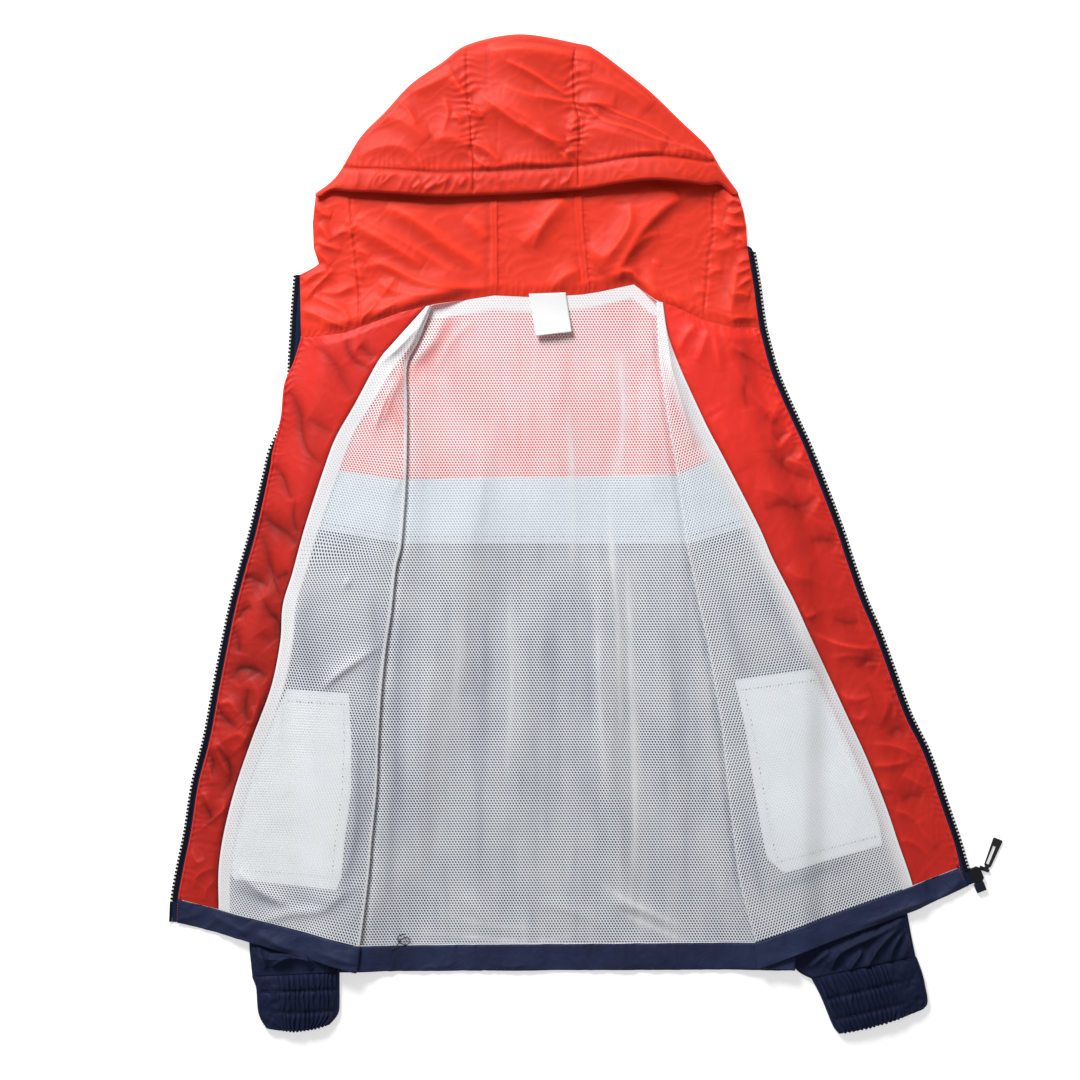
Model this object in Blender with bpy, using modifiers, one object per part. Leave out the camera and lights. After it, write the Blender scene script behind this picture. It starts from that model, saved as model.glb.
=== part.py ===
"""A hooded windbreaker jacket, unzipped and laid open on its back on a flat surface.

The back lies in the middle with its outside down. Each front panel is folded over it at the side
seam and turned out again at a fold, so that its mesh lining and its facing show. The sleeves are
folded down underneath, and only their cuffs show below the hem. The hood lies beyond the neck seam,
with its crown folded over so that the tunnel at its front edge lies across it.

Left and right are as seen from above, +Y runs to the hood and +Z is up. The origin is on the
surface, under the middle of the back. Sizes are in millimetres until the meshes are made.
"""

import math
from collections import namedtuple

import bmesh
import bpy
import numpy as np
from mathutils import Matrix, Vector

MM = 0.001

# Cloth and its layers. A height is that of the middle of a wall above the ground of the body.
WALL = 1.0
SEAM = 0.3
CROSS_SEAM = 0.5
HEM_SEAM = 0.9
LINING_SIDE_INSET = 0.5
HEM_WALL = 2.1
TUNNEL_WALL = 2.0
Z_BACK = 0.5
Z_BACK_LINING = 1.8
Z_INNER_LINING = 4.1
Z_INNER_FRONT = 5.5
Z_FRONT = 7.2
POCKET_ABOVE_FRONT = 1.8
LINING_ABOVE_FRONT = 3.6
FACING_ABOVE_FRONT = 1.3
SIDE_TURN = 3.0
FOLD_TURN = 3.65
PILE = Z_FRONT - Z_BACK

# The front panels, a row for each station from the neck seam to the hem. side is the outermost
# point of the side seam, fold that of the fold over the back, seam where lining and facing meet,
# and zip the facing's edge at the zip tape.
Station = namedtuple("Station", "side fold seam zip")
FRONT_LEFT = [
    Station((-273, 198), (-161, 247), (-169, 245), (-305, 211)),
    Station((-279, 171), (-176, 208), (-205, 205), (-313, 185)),
    Station((-283, 149), (-188, 183), (-221, 185), (-323, 161)),
    Station((-289, 117), (-188, 144), (-246, 139), (-327, 124)),
    Station((-295, 84), (-188, 110), (-266, 104), (-336, 87)),
    Station((-300, 57), (-189, 57), (-279, 70), (-339, 68)),
    Station((-306, -11), (-194, -11), (-300, 6), (-353, 3)),
    Station((-305, -45), (-200, -38), (-313, -42), (-365, -40)),
    Station((-300, -94), (-205, -85), (-324, -78), (-375, -78)),
    Station((-296, -132), (-211, -126), (-327, -118), (-383, -116)),
    Station((-292, -175), (-216, -175), (-337, -167), (-393, -167)),
    Station((-286, -229), (-219, -225), (-357, -221), (-403, -221)),
    Station((-282, -278), (-221, -278), (-375, -273), (-416, -272)),
    Station((-275, -332), (-226, -329), (-388, -323), (-424, -323)),
    Station((-271, -375), (-230, -375), (-394, -364), (-432, -362)),
    Station((-267, -446), (-239, -446), (-394, -407), (-438, -396)),
    Station((-265, -474), (-243, -474), (-395, -432), (-439, -421)),
]
FRONT_RIGHT = [
    Station((150, 203), (78, 252), (86, 249), (191, 222)),
    Station((157, 176), (79, 219), (92, 214), (194, 210)),
    Station((163, 152), (81, 187), (104, 180), (203, 177)),
    Station((172, 122), (87, 144), (119, 146), (215, 147)),
    Station((180, 97), (93, 104), (135, 112), (229, 116)),
    Station((193, 64), (100, 64), (150, 84), (242, 87)),
    Station((218, -11), (110, -12), (188, 10), (272, 10)),
    Station((226, -51), (117, -45), (205, -29), (285, -29)),
    Station((230, -89), (124, -81), (227, -72), (300, -72)),
    Station((233, -126), (133, -121), (243, -107), (315, -107)),
    Station((233, -170), (140, -161), (261, -145), (329, -145)),
    Station((232, -218), (148, -210), (285, -197), (348, -197)),
    Station((232, -267), (153, -261), (305, -240), (369, -240)),
    Station((231, -321), (160, -321), (326, -292), (387, -292)),
    Station((230, -380), (168, -379), (340, -333), (401, -333)),
    Station((230, -442), (184, -441), (356, -381), (409, -361)),
    Station((229, -472), (188, -469), (357, -408), (417, -381)),
]
# Stations at which the outer cloth changes colour, and at which the hem band begins and ends.
NECK, YOKE_END, BAND_END, HEM_TOP, HEM_END = 0, 5, 6, 15, 16

# The hood, a row for each column from its left edge to its right one. neck lies on the neck seam,
# over is the crown's fold, front is the edge of the tunnel, and rise is that edge's height.
HoodColumn = namedtuple("HoodColumn", "neck over front rise")
HOOD = [
    HoodColumn((-305, 211), (-289, 368), (-281, 364), 8),
    HoodColumn((-286, 212), (-266, 387), (-270, 370), 10),
    HoodColumn((-257, 216), (-241, 428), (-249, 368), 13),
    HoodColumn((-228, 227), (-214, 456), (-221, 367), 15),
    HoodColumn((-198, 238), (-186, 486), (-192, 365), 15),
    HoodColumn((-161, 247), (-153, 509), (-158, 363), 14),
    HoodColumn((-96, 257), (-124, 529), (-119, 364), 12),
    HoodColumn((-50, 255), (-68, 540), (-65, 366), 12),
    HoodColumn((-1, 258), (-6, 530), (-5, 370), 13),
    HoodColumn((18, 261), (13, 524), (11, 372), 14),
    HoodColumn((55, 269), (43, 502), (42, 377), 16),
    HoodColumn((78, 252), (75, 476), (75, 380), 18),
    HoodColumn((105, 242), (106, 446), (106, 378), 18),
    HoodColumn((130, 230), (135, 418), (132, 375), 15),
    HoodColumn((162, 222), (149, 395), (148, 376), 11),
    HoodColumn((191, 222), (167, 370), (160, 366), 8),
]
HOOD_SEAMS = (6, 8)
# The hood's inside keeps to these points between neck and crown, by column.
HOOD_BENDS = {
    0: [(-306, 281), (-285, 292), (-291, 311), (-292, 338)],
    1: [(-278, 290)],
    6: [(-99, 361)],
    8: [(-8, 364)],
    14: [(168, 300)],
    15: [(188, 241), (184, 271), (177, 312), (176, 333), (173, 350)],
}
HOOD_COLUMNS = (0, 1, 2, 3, 4, 5, 5.5, 6, 6.5, 7, 7.5, 8, 9, 10, 11, 12, 13, 14, 15)
HOOD_TURN = 3.5
HOOD_NECK_FALL = 50
TUNNEL_WIDTH = 26

# The sleeves under the body, a row for each cross-section from the armhole to the cuff. It runs
# from outer to inner and is as high as height.
SleeveStation = namedtuple("SleeveStation", "outer inner height")
SLEEVE_LEFT = [
    SleeveStation((-302, -25), (-262, 191), 3.4),
    SleeveStation((-308, -42), (-206, 161), 3.4),
    SleeveStation((-319, -59), (-161, 90), 3.4),
    SleeveStation((-333, -79), (-146, -8), 3.4),
    SleeveStation((-345, -116), (-154, -105), 3.4),
    SleeveStation((-352, -180), (-176, -180), 3.4),
    SleeveStation((-359, -267), (-203, -267), 3.4),
    SleeveStation((-361, -353), (-230, -353), 3.4),
    SleeveStation((-361, -413), (-249, -413), 4.0),
    SleeveStation((-361, -445), (-260, -450), 4.6),
    SleeveStation((-359, -467), (-264, -468), 6.5),
    SleeveStation((-357.5, -480), (-263.5, -475), 8.5),
]
SLEEVE_RIGHT = [
    SleeveStation((221, -25), (148, 191), 3.4),
    SleeveStation((230, -42), (112, 147), 3.4),
    SleeveStation((243, -62), (92, 59), 3.4),
    SleeveStation((258, -83), (94, -45), 3.4),
    SleeveStation((275, -121), (103, -126), 3.4),
    SleeveStation((295, -180), (119, -197), 3.4),
    SleeveStation((318, -267), (159, -299), 3.4),
    SleeveStation((337, -353), (191, -383), 3.4),
    SleeveStation((348, -396), (214, -431), 4.0),
    SleeveStation((355, -434), (228, -469), 4.8),
    SleeveStation((360, -459), (247, -482), 8.5),
]
SLEEVE_END_RADIUS = 3.0
# How far the body's layers take to come down beside a sleeve.
SLEEVE_CLEARANCE = 1.1
SLEEVE_MARGIN = 10
FALL_INWARD = 62
FALL_OUTWARD = 25
FALL_ABOVE = 45

# The cuffs, as the sleeves, and bow is how far a cross-section bulges towards the hand. pull is how
# deeply a row of elastic thread draws the ribs in.
CuffStation = namedtuple("CuffStation", "outer inner height bow pull")
CUFF_LEFT = [
    CuffStation((-357.5, -480.6), (-263.5, -475.6), 9.5, 0, 0.3),
    CuffStation((-353.5, -490), (-263.5, -486), 11, 0, 0),
    CuffStation((-352.5, -498), (-263.5, -495), 11.5, 0, 0.75),
    CuffStation((-352, -507), (-263.5, -506), 12, 1, 0),
    CuffStation((-351, -517), (-264, -516), 11.5, 2, 0.75),
    CuffStation((-348, -526), (-267, -523), 11, 4, 0),
    CuffStation((-342, -535), (-274, -531), 9.5, 5, 0),
]
CUFF_RIGHT = [
    CuffStation((360.3, -459.6), (247.3, -482.6), 9.5, 0, 0.3),
    CuffStation((365, -471), (255, -496), 11, 0, 0),
    CuffStation((368, -481), (260, -507), 11.5, 0, 0.75),
    CuffStation((370, -491), (264, -517), 12, 0, 0),
    CuffStation((372, -501), (268, -527), 11.5, 1, 0.75),
    CuffStation((372, -509), (272, -535), 11, 2, 0),
    CuffStation((368, -514), (277, -541), 9.5, 3, 0),
]
CUFF_WALL = 1.2
RIBS = 17
RIB_HEIGHT = 0.9
RIB_FREE = 0.28

# The pocket bags, a row for each station: how far across the lining, from the fold to the facing,
# they begin and end.
PocketRow = namedtuple("PocketRow", "station near far")
POCKET_LEFT = [
    PocketRow(10, 0.28, 0.85),
    PocketRow(11, 0.20, 0.94),
    PocketRow(12, 0.17, 0.96),
    PocketRow(13, 0.17, 0.96),
    PocketRow(14, 0.17, 0.95),
    PocketRow(14.22, 0.20, 0.88),
]
POCKET_RIGHT = [
    PocketRow(10, 0.17, 0.86),
    PocketRow(11, 0.17, 0.87),
    PocketRow(12, 0.17, 0.88),
    PocketRow(13, 0.17, 0.90),
    PocketRow(14, 0.19, 0.88),
]

# Large soft ridges of the cloth that lies on top, from one end to the other.
Ridge = namedtuple("Ridge", "start end half_width height")
FACING_RIDGES = [
    Ridge((-303, 165), (-318, 108), 9, 4.0),
    Ridge((-296, 100), (-318, 20), 8, 3.5),
    Ridge((-317, 60), (-345, -20), 8, 3.5),
    Ridge((-268, 195), (-300, 150), 9, 3.0),
    Ridge((-338, -60), (-352, -150), 9, 3.0),
    Ridge((-368, -170), (-385, -260), 8, 2.5),
    Ridge((128, 190), (165, 150), 9, 3.0),
    Ridge((180, 120), (218, 40), 9, 3.0),
    Ridge((225, 20), (262, -60), 9, 3.0),
    Ridge((285, -70), (320, -150), 9, 2.5),
    Ridge((345, -180), (385, -290), 9, 2.5),
]
HOOD_RIDGES = [
    Ridge((-245, 395), (-150, 400), 16, 3.5),
    Ridge((-200, 440), (-130, 385), 14, 3.0),
    Ridge((-80, 500), (-20, 440), 14, 3.0),
    Ridge((5, 455), (110, 405), 16, 3.5),
    Ridge((10, 500), (60, 440), 13, 2.5),
    Ridge((-285, 300), (-120, 262), 14, 3.0),
    Ridge((-265, 335), (-130, 285), 14, 3.0),
    Ridge((45, 345), (75, 275), 14, 3.5),
    Ridge((110, 345), (60, 290), 13, 3.0),
    Ridge((110, 330), (160, 260), 12, 2.5),
]

# The zip. Offsets are measured outwards from the zip edge of the facing.
TAPE_WIDTH = 5.1
CHAIN_WIDTH = 3.8
CHAIN_HEIGHT = 2.6
ZIP_LEFT_TOP = [(-308, 245), (-306, 280)]
ZIP_RIGHT_TOP = [(188, 241), (184, 271), (177, 312)]
SLIDER_LIFT = 1.5
SLIDER_LIFT_LENGTH = 60
SLIDER_AT = (425, -370)
SLIDER_DOWN = (0.37, -0.93)
SLIDER_LENGTH = 17
SLIDER_WIDTH = 14
SLIDER_HEIGHT = 5.6
SLIDER_PLATE = 1.2
SLIDER_CORNER = 3.0
WEDGE_WIDTH = 3.4
BOX_LENGTH = 10
BOX_LEFT, BOX_RIGHT = -6.0, 5.0
PIN_ROD_SIZE = (3.0, 22.0, 2.4)

# The pull tab and its pin.
TAB_PIN_AT = (436, -364.5, 2.1)
TAB_ALONG = (0.376, 0.927)
TAB_LENGTH = 36.0
TAB_THICKNESS = 1.9
TAB_NEAR_WIDTH, TAB_FAR_WIDTH = 7.0, 10.6
TAB_SLOT_WIDTH = 3.2
TAB_SLOT_FROM, TAB_SLOT_TO = 6.5, 27.0
BARREL_RADIUS, BARREL_BORE, BARREL_WIDTH = 2.0, 1.3, 4.6
TAB_PIN_RADIUS = 0.9
PIN_HEAD_RADIUS, PIN_HEAD_LENGTH = 1.8, 1.0
TAB_START, TAB_LOW, TAB_SLOT_OFFSET, TAB_CORNER = 0.6, 0.1, -0.9, 1.0
LUG_SIZE, LUG_REACH, LUG_SHIFT = (5.0, 4.4, 3.8), 3.2, 1.0

# The neck label, a quad from the neck seam down, over the back lining.
LABEL_TOP_LEFT, LABEL_TOP_RIGHT = (-58, 254.5), (-19, 255.5)
LABEL_BOTTOM_LEFT, LABEL_BOTTOM_RIGHT = (-51, 211), (-12, 216)
LABEL_ABOVE_LINING = 1.5
LABEL_CURL = 3.0
LABEL_STEPS = 4

# How many faces each stretch of cloth is divided into.
FACING_STEPS, LINING_STEPS, PLY_STEPS, SHOULDER_STEPS = 5, 6, 3, 4
HOOD_INSIDE_STEPS, HOOD_FOLD_STEPS, HOOD_TOP_STEPS, TUNNEL_STEPS = 9, 4, 5, 2
SLEEVE_STEPS = (7, 3, 4)
CUFF_END_STEPS, CUFF_BOTTOM_STEPS = 3, 6

RED, NAVY, PALE, MESH = (0.72, 0.035, 0.02), (0.018, 0.024, 0.075), (0.75, 0.82, 0.86), (0.86, 0.87, 0.88)
BLACK, WHITE = (0.012, 0.012, 0.014), (0.88, 0.88, 0.88)


# ---------------------------------------------------------------- small helpers


def smooth(t):
    t = min(max(t, 0.0), 1.0)
    return t * t * (3 - 2 * t)


def mix(a, b, t):
    return np.asarray(a, float) * (1 - t) + np.asarray(b, float) * t


def unit(v):
    v = np.asarray(v, float)
    return v / np.linalg.norm(v)


def along(points, t):
    """The point at share t of the way along a list of points."""
    points = np.asarray(points, float)
    steps = np.linalg.norm(np.diff(points, axis=0), axis=1)
    way = np.concatenate([[0], np.cumsum(steps)])
    return np.array([np.interp(t * way[-1], way, points[:, k]) for k in range(points.shape[1])])


def spaced(a, b, count):
    return [mix(a, b, i / count) for i in range(count + 1)]


def ridge_height(x, y, ridges):
    """Height that the ridges add at (x, y): round across, and falling off to their ends."""
    total = 0.0
    for ridge in ridges:
        start, end = np.array(ridge.start, float), np.array(ridge.end, float)
        run = end - start
        t = np.dot((x, y) - start, run) / np.dot(run, run)
        if not 0 < t < 1:
            continue
        across = abs(np.cross(run, (x, y) - start)) / np.linalg.norm(run)
        fall = smooth(1 - across / ridge.half_width) * math.sin(math.pi * t) ** 0.6
        total = max(total, ridge.height * fall)
    return total


# ---------------------------------------------------------------- the ground of the body


def sleeve_extents(sleeve):
    """Height, outer x and inner x of the sleeve's footprint, by falling y."""
    outer = [(sleeve[0].inner[1], sleeve[0].inner[0])] + [(s.outer[1], s.outer[0]) for s in sleeve]
    inner = [(s.inner[1], s.inner[0]) for s in sleeve]
    height = [(0.5 * (s.outer[1] + s.inner[1]), s.height) for s in sleeve]
    return [np.array(sorted(part)) for part in (outer, inner, height)]


LEFT_EXTENTS, RIGHT_EXTENTS = sleeve_extents(SLEEVE_LEFT), sleeve_extents(SLEEVE_RIGHT)


def lift(x, y):
    """How far the sleeves hold the body's layers off the surface at (x, y)."""
    total = 0.0
    for (outer, inner, height), sign in ((LEFT_EXTENTS, -1), (RIGHT_EXTENTS, 1)):
        beyond_outer = sign * (x - np.interp(y, outer[:, 0], outer[:, 1])) - SLEEVE_MARGIN
        beyond_inner = sign * (np.interp(y, inner[:, 0], inner[:, 1]) - x) - SLEEVE_MARGIN
        share = 1 - smooth(beyond_outer / FALL_OUTWARD)
        share *= 1 - smooth(beyond_inner / FALL_INWARD)
        share *= 1 - smooth((y - outer[-1, 0]) / FALL_ABOVE)
        total = max(total, share * (np.interp(y, height[:, 0], height[:, 1]) + SLEEVE_CLEARANCE))
    return total


def over_pile(x, y):
    """1 where the turned-out front lies on the back's pile of layers, falling to 0 outside it."""
    left = np.array([s.side for s in reversed(FRONT_LEFT)], float)
    right = np.array([s.side for s in reversed(FRONT_RIGHT)], float)
    beyond = max(np.interp(y, left[:, 1], left[:, 0]) - x, x - np.interp(y, right[:, 1], right[:, 0]))
    return 1 - smooth((beyond - 4) / 30)


def front_z(x, y):
    return Z_BACK + lift(x, y) + PILE * over_pile(x, y)


# ---------------------------------------------------------------- meshes and materials


def material(name, colour, roughness, sheen=0.0, metallic=0.0):
    mat = bpy.data.materials.get(name) or bpy.data.materials.new(name)
    mat.use_nodes = True
    shader = mat.node_tree.nodes["Principled BSDF"]
    shader.inputs["Base Color"].default_value = (*colour, 1)
    shader.inputs["Roughness"].default_value = roughness
    shader.inputs["Metallic"].default_value = metallic
    shader.inputs["Sheen Weight"].default_value = sheen
    mat.diffuse_color = (*colour, 1)
    return mat


def add_object(name, mesh, mat):
    obj = bpy.data.objects.new(name, mesh)
    jacket.objects.link(obj)
    mesh.materials.append(mat)
    return obj


def grid_mesh(name, rows, ring=False):
    """An open surface through rows of points, or a tube where each row is a ring."""
    mesh_builder = bmesh.new()
    verts = [[mesh_builder.verts.new(Vector(point) * MM) for point in row] for row in rows]
    columns = len(rows[0])
    for r in range(len(rows) - 1):
        for c in range(columns if ring else columns - 1):
            d = (c + 1) % columns
            mesh_builder.faces.new((verts[r][c], verts[r + 1][c], verts[r + 1][d], verts[r][d]))
    mesh = bpy.data.meshes.new(name)
    mesh_builder.to_mesh(mesh)
    mesh_builder.free()
    mesh.shade_smooth()
    return mesh


def cloth(name, rows, mat, wall=WALL, ring=False, thickness=None):
    """A wall of cloth round a surface. thickness gives each point's share of the wall."""
    obj = add_object(name, grid_mesh(name, rows, ring), mat)
    shell = obj.modifiers.new("wall", "SOLIDIFY")
    shell.thickness = wall * MM
    shell.offset = 0
    if thickness is not None:
        group = obj.vertex_groups.new(name="wall")
        for index, share in enumerate(np.ravel(thickness)):
            group.add([index], float(share), "REPLACE")
        shell.vertex_group = "wall"
    return obj


def double_tube(name, outer_rings, inner_rings, mat):
    """An open tube with different outer and inner surfaces, joined at both ends."""
    builder = bmesh.new()
    outer = [[builder.verts.new(Vector(p) * MM) for p in ring] for ring in outer_rings]
    inner = [[builder.verts.new(Vector(p) * MM) for p in ring] for ring in inner_rings]
    count = len(outer[0])
    for r in range(len(outer) - 1):
        for c in range(count):
            d = (c + 1) % count
            builder.faces.new((outer[r][c], outer[r][d], outer[r + 1][d], outer[r + 1][c]))
            builder.faces.new((inner[r][c], inner[r + 1][c], inner[r + 1][d], inner[r][d]))
    for c in range(count):
        d = (c + 1) % count
        builder.faces.new((outer[0][d], outer[0][c], inner[0][c], inner[0][d]))
        builder.faces.new((outer[-1][c], outer[-1][d], inner[-1][d], inner[-1][c]))
    bmesh.ops.recalc_face_normals(builder, faces=builder.faces)
    mesh = bpy.data.meshes.new(name)
    builder.to_mesh(mesh)
    builder.free()
    return add_object(name, mesh, mat)


# ---------------------------------------------------------------- fronts


def station_at(front, s):
    """The station at a fractional place s."""
    low = min(int(s), len(front) - 2)
    return Station(*(mix(a, b, s - low) for a, b in zip(front[low], front[low + 1])))


def half_turn(centre, out, radius, z_from, z_to, steps):
    """Points round a fold, from one ply to the other: (x, y, height above the ground)."""
    points = []
    for i in range(steps + 1):
        angle = -math.pi / 2 + math.pi * i / steps
        xy = np.asarray(centre) + np.asarray(out) * radius * math.cos(angle)
        z = 0.5 * (z_from + z_to) + 0.5 * (z_to - z_from) * math.sin(angle)
        points.append((*xy, z))
    return points


def grounded(points):
    """Points with a height above the body's ground, set on that ground."""
    return [(x, y, z + lift(x, y)) for x, y, z in points]


def turns_of(station):
    """Centres of the turn at the side seam and of the turn at the fold, and the way in."""
    inward = unit(station.fold - station.side)
    return station.side + SIDE_TURN * inward, station.fold - FOLD_TURN * inward, inward


def neck_vertices(front):
    """The neck seam's points, from the lining's corner to the zip."""
    if front is FRONT_LEFT:
        return [front[0].seam] + [HOOD[k].neck for k in (4, 3, 2, 1, 0)]
    between = mix(HOOD[14].neck, HOOD[15].neck, 0.5)
    return [front[0].seam] + [HOOD[k].neck for k in (12, 13, 14)] + [between, HOOD[15].neck]


def facing_line(front, s):
    """Points across the facing from the lining to the zip. Near the neck they follow its seam."""
    station = station_at(front, s)
    straight = spaced(station.seam, station.zip, FACING_STEPS)
    share = float(np.interp(s, (0, 1, 2, 3), (1, 0.6, 0.25, 0)))
    if share == 0:
        return straight
    top = spaced(front[0].seam, front[0].zip, FACING_STEPS)
    return [p + share * (np.asarray(n, float) - t) for p, n, t in zip(straight, neck_vertices(front), top)]


def lining_line(front, s):
    station = station_at(front, s)
    _, fold_centre, _ = turns_of(station)
    return spaced(fold_centre, station.seam, LINING_STEPS)


def upper(points, above):
    """Points of the turned-out ply, above them being one height or one for each."""
    heights = np.broadcast_to(above, len(points))
    return [(x, y, front_z(x, y) + h) for (x, y), h in zip(points, heights)]


def front_row(front, s, low=Z_BACK, inner=Z_INNER_FRONT, outer=Z_FRONT, turn=0.85):
    """The outer cloth of a front: side seam, inner ply, fold and turned-out ply."""
    side_centre, fold_centre, inward = turns_of(station_at(front, s))
    side = half_turn(side_centre, -inward, 0.5 * (inner - low), low, inner, 3)
    ply = [(*p, inner) for p in spaced(side_centre, fold_centre, PLY_STEPS)[1:-1]]
    fold = half_turn(fold_centre, inward, turn, inner, outer, 3)
    out = upper(lining_line(front, s)[1:] + facing_line(front, s)[1:], outer - Z_FRONT)
    return grounded(side + ply + fold) + out


def front_lining_row(front, s):
    side_centre, fold_centre, inward = turns_of(station_at(front, s))
    side_centre = side_centre + LINING_SIDE_INSET * inward
    turn = 0.5 * (Z_INNER_LINING - Z_BACK_LINING)
    side = half_turn(side_centre, -inward, turn, Z_BACK_LINING, Z_INNER_LINING, 3)
    ply = [(*p, Z_INNER_LINING) for p in spaced(side_centre, fold_centre, PLY_STEPS)[1:-1]]
    high = Z_FRONT + lining_above(s)
    turn = 0.5 * (high - Z_INNER_LINING)
    fold = half_turn(fold_centre, inward, min(turn, FOLD_TURN - 0.5), Z_INNER_LINING, high, 4)
    line = lining_line(front, s)
    line[-1] = line[-1] - unit(line[-1] - line[-2]) * SEAM / 2
    return grounded(side + ply + fold) + upper(line[1:], lining_above(s))


def lining_above(s):
    """How high the lining lies over the outer cloth: less at the neck and at the hem."""
    return float(np.interp(s, (0, 1, 14.5, 15), (2.4, LINING_ABOVE_FRONT, LINING_ABOVE_FRONT, 3.2)))


def facing_row(front, s):
    line = facing_line(front, s)
    line[0] = line[0] + unit(line[1] - line[0]) * SEAM / 2
    heights = np.linspace(lining_above(s), FACING_ABOVE_FRONT, FACING_STEPS + 1)
    row = upper(line, heights)
    return [(x, y, z + ridge_height(x, y, FACING_RIDGES)) for x, y, z in row]


def pocket_row(front, row):
    """Points across a pocket bag, on the lines of the net that its front is made of."""
    low = min(int(row.station), HEM_TOP - 1)
    net = [upper(lining_line(front, k), POCKET_ABOVE_FRONT) for k in (low, low + 1)]
    line = [mix(a, b, row.station - low) for a, b in zip(*net)]
    start = mix(line[1], line[2], row.near * LINING_STEPS - 1)
    end = mix(line[-2], line[-1], row.far * LINING_STEPS - LINING_STEPS + 1)
    return [start, *line[2:-1], end]


def stations(first, last, front, gap=CROSS_SEAM):
    """Stations of a piece: whole ones, with the ends drawn in by half a seam gap."""
    def shift(s, way):
        row = station_at(front, s)
        step = station_at(front, s + way * 0.5)
        return s + way * 0.5 * (gap / 2) / np.linalg.norm(step.fold - row.fold)

    inner = list(range(first + 1, last))
    if last - first == 1:
        inner = [first + 0.5]
    return [shift(first, 1)] + inner + [shift(last, -1)]


def make_front(side, front):
    for name, first, last, mat in (
        ("yoke", NECK, YOKE_END, red_cloth),
        ("band", YOKE_END, BAND_END, pale_cloth),
        ("lower", BAND_END, HEM_TOP, navy_cloth),
    ):
        rows = [front_row(front, s) for s in stations(first, last, front)]
        cloth(f"front_{side}_{name}", rows, mat)
    body = stations(NECK, HEM_TOP, front)
    body.insert(YOKE_END + 1, YOKE_END + 0.5)
    cloth(f"lining_front_{side}", [front_lining_row(front, s) for s in body], mesh_cloth)
    cloth(f"facing_{side}", [facing_row(front, s) for s in body], red_cloth)
    pocket = POCKET_LEFT if front is FRONT_LEFT else POCKET_RIGHT
    cloth(f"pocket_{side}", [pocket_row(front, row) for row in pocket], white_cloth)
    hem = [
        front_row(front, s, low=1.05, inner=4.75, outer=8.3, turn=1.75)
        for s in stations(HEM_TOP, HEM_END, front, HEM_SEAM)
    ]
    cloth(f"hem_front_{side}", hem, navy_cloth, wall=HEM_WALL)


# ---------------------------------------------------------------- back


def back_top():
    """Points along the back's top edge: left shoulder, neck and right shoulder."""
    neck = [np.array(HOOD[k].neck, float) for k in range(5, 12)]
    between = [mix(neck[0], neck[1], 1 / 3), mix(neck[0], neck[1], 2 / 3)]
    middle = [neck[0], *between, neck[1], mix(neck[1], neck[2], 0.5)]
    middle += [neck[2], mix(neck[2], neck[3], 0.5), *neck[3:]]
    left = spaced(back_edge(FRONT_LEFT, 0), neck[0], SHOULDER_STEPS)[:-1]
    right = spaced(neck[-1], back_edge(FRONT_RIGHT, 0), SHOULDER_STEPS)[1:]
    return left + middle + right


def back_edge(front, s, inset=0.0):
    """Where the back ends beside the turn of a front's side seam."""
    side_centre, _, inward = turns_of(station_at(front, s))
    return side_centre + (2 * SEAM + inset) * inward


def back_line(s, inset=0.0):
    """Points across the back at station s."""
    top = back_top()
    line = spaced(back_edge(FRONT_LEFT, s, inset), back_edge(FRONT_RIGHT, s, inset), len(top) - 1)
    share = float(np.interp(s, (0, 1, 2, 3, 4), (1, 0.68, 0.42, 0.18, 0)))
    chord = spaced(top[0], top[-1], len(top) - 1)
    return [p + share * (t - c) for p, t, c in zip(line, top, chord)]


def back_rows(first, last, height, inset=0.0):
    places = stations(first, last, FRONT_LEFT)
    if first < YOKE_END < last:
        places.insert(YOKE_END + 1, YOKE_END + 0.5)
    return [[(x, y, height + lift(x, y)) for x, y in back_line(s, inset)] for s in places]


def make_back():
    cloth("back_yoke", back_rows(NECK, YOKE_END, Z_BACK), red_cloth)
    cloth("back_band", back_rows(YOKE_END, BAND_END, Z_BACK), pale_cloth)
    cloth("back_lower", back_rows(BAND_END, HEM_TOP, Z_BACK), navy_cloth)
    cloth("back_lining", back_rows(NECK, HEM_TOP, Z_BACK_LINING, LINING_SIDE_INSET), mesh_cloth)
    cloth("hem_back", back_rows(HEM_TOP, HEM_END, HEM_WALL / 2), navy_cloth, wall=HEM_WALL)


# ---------------------------------------------------------------- hood


def hood_column(u):
    """neck, bends, crown and front edge of the hood at a fractional column."""
    low = min(int(u), len(HOOD) - 2)
    t = u - low
    a, b = HOOD[low], HOOD[low + 1]
    column = HoodColumn(*(mix(from_a, from_b, t) for from_a, from_b in zip(a, b)))
    paths = [[HOOD[k].neck, *HOOD_BENDS.get(k, []), HOOD[k].over] for k in (low, low + 1)]
    return column, paths, t


def hood_neck_z(x, y, u):
    """Height of the neck seam: on the turned-out fronts at both ends, on the back between."""
    on_front = max(1 - smooth((u - 5) / 0.6), smooth((u - 10.2) / 0.8))
    return Z_BACK + 0.7 + on_front * (front_z(x, y) - Z_BACK)


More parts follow.
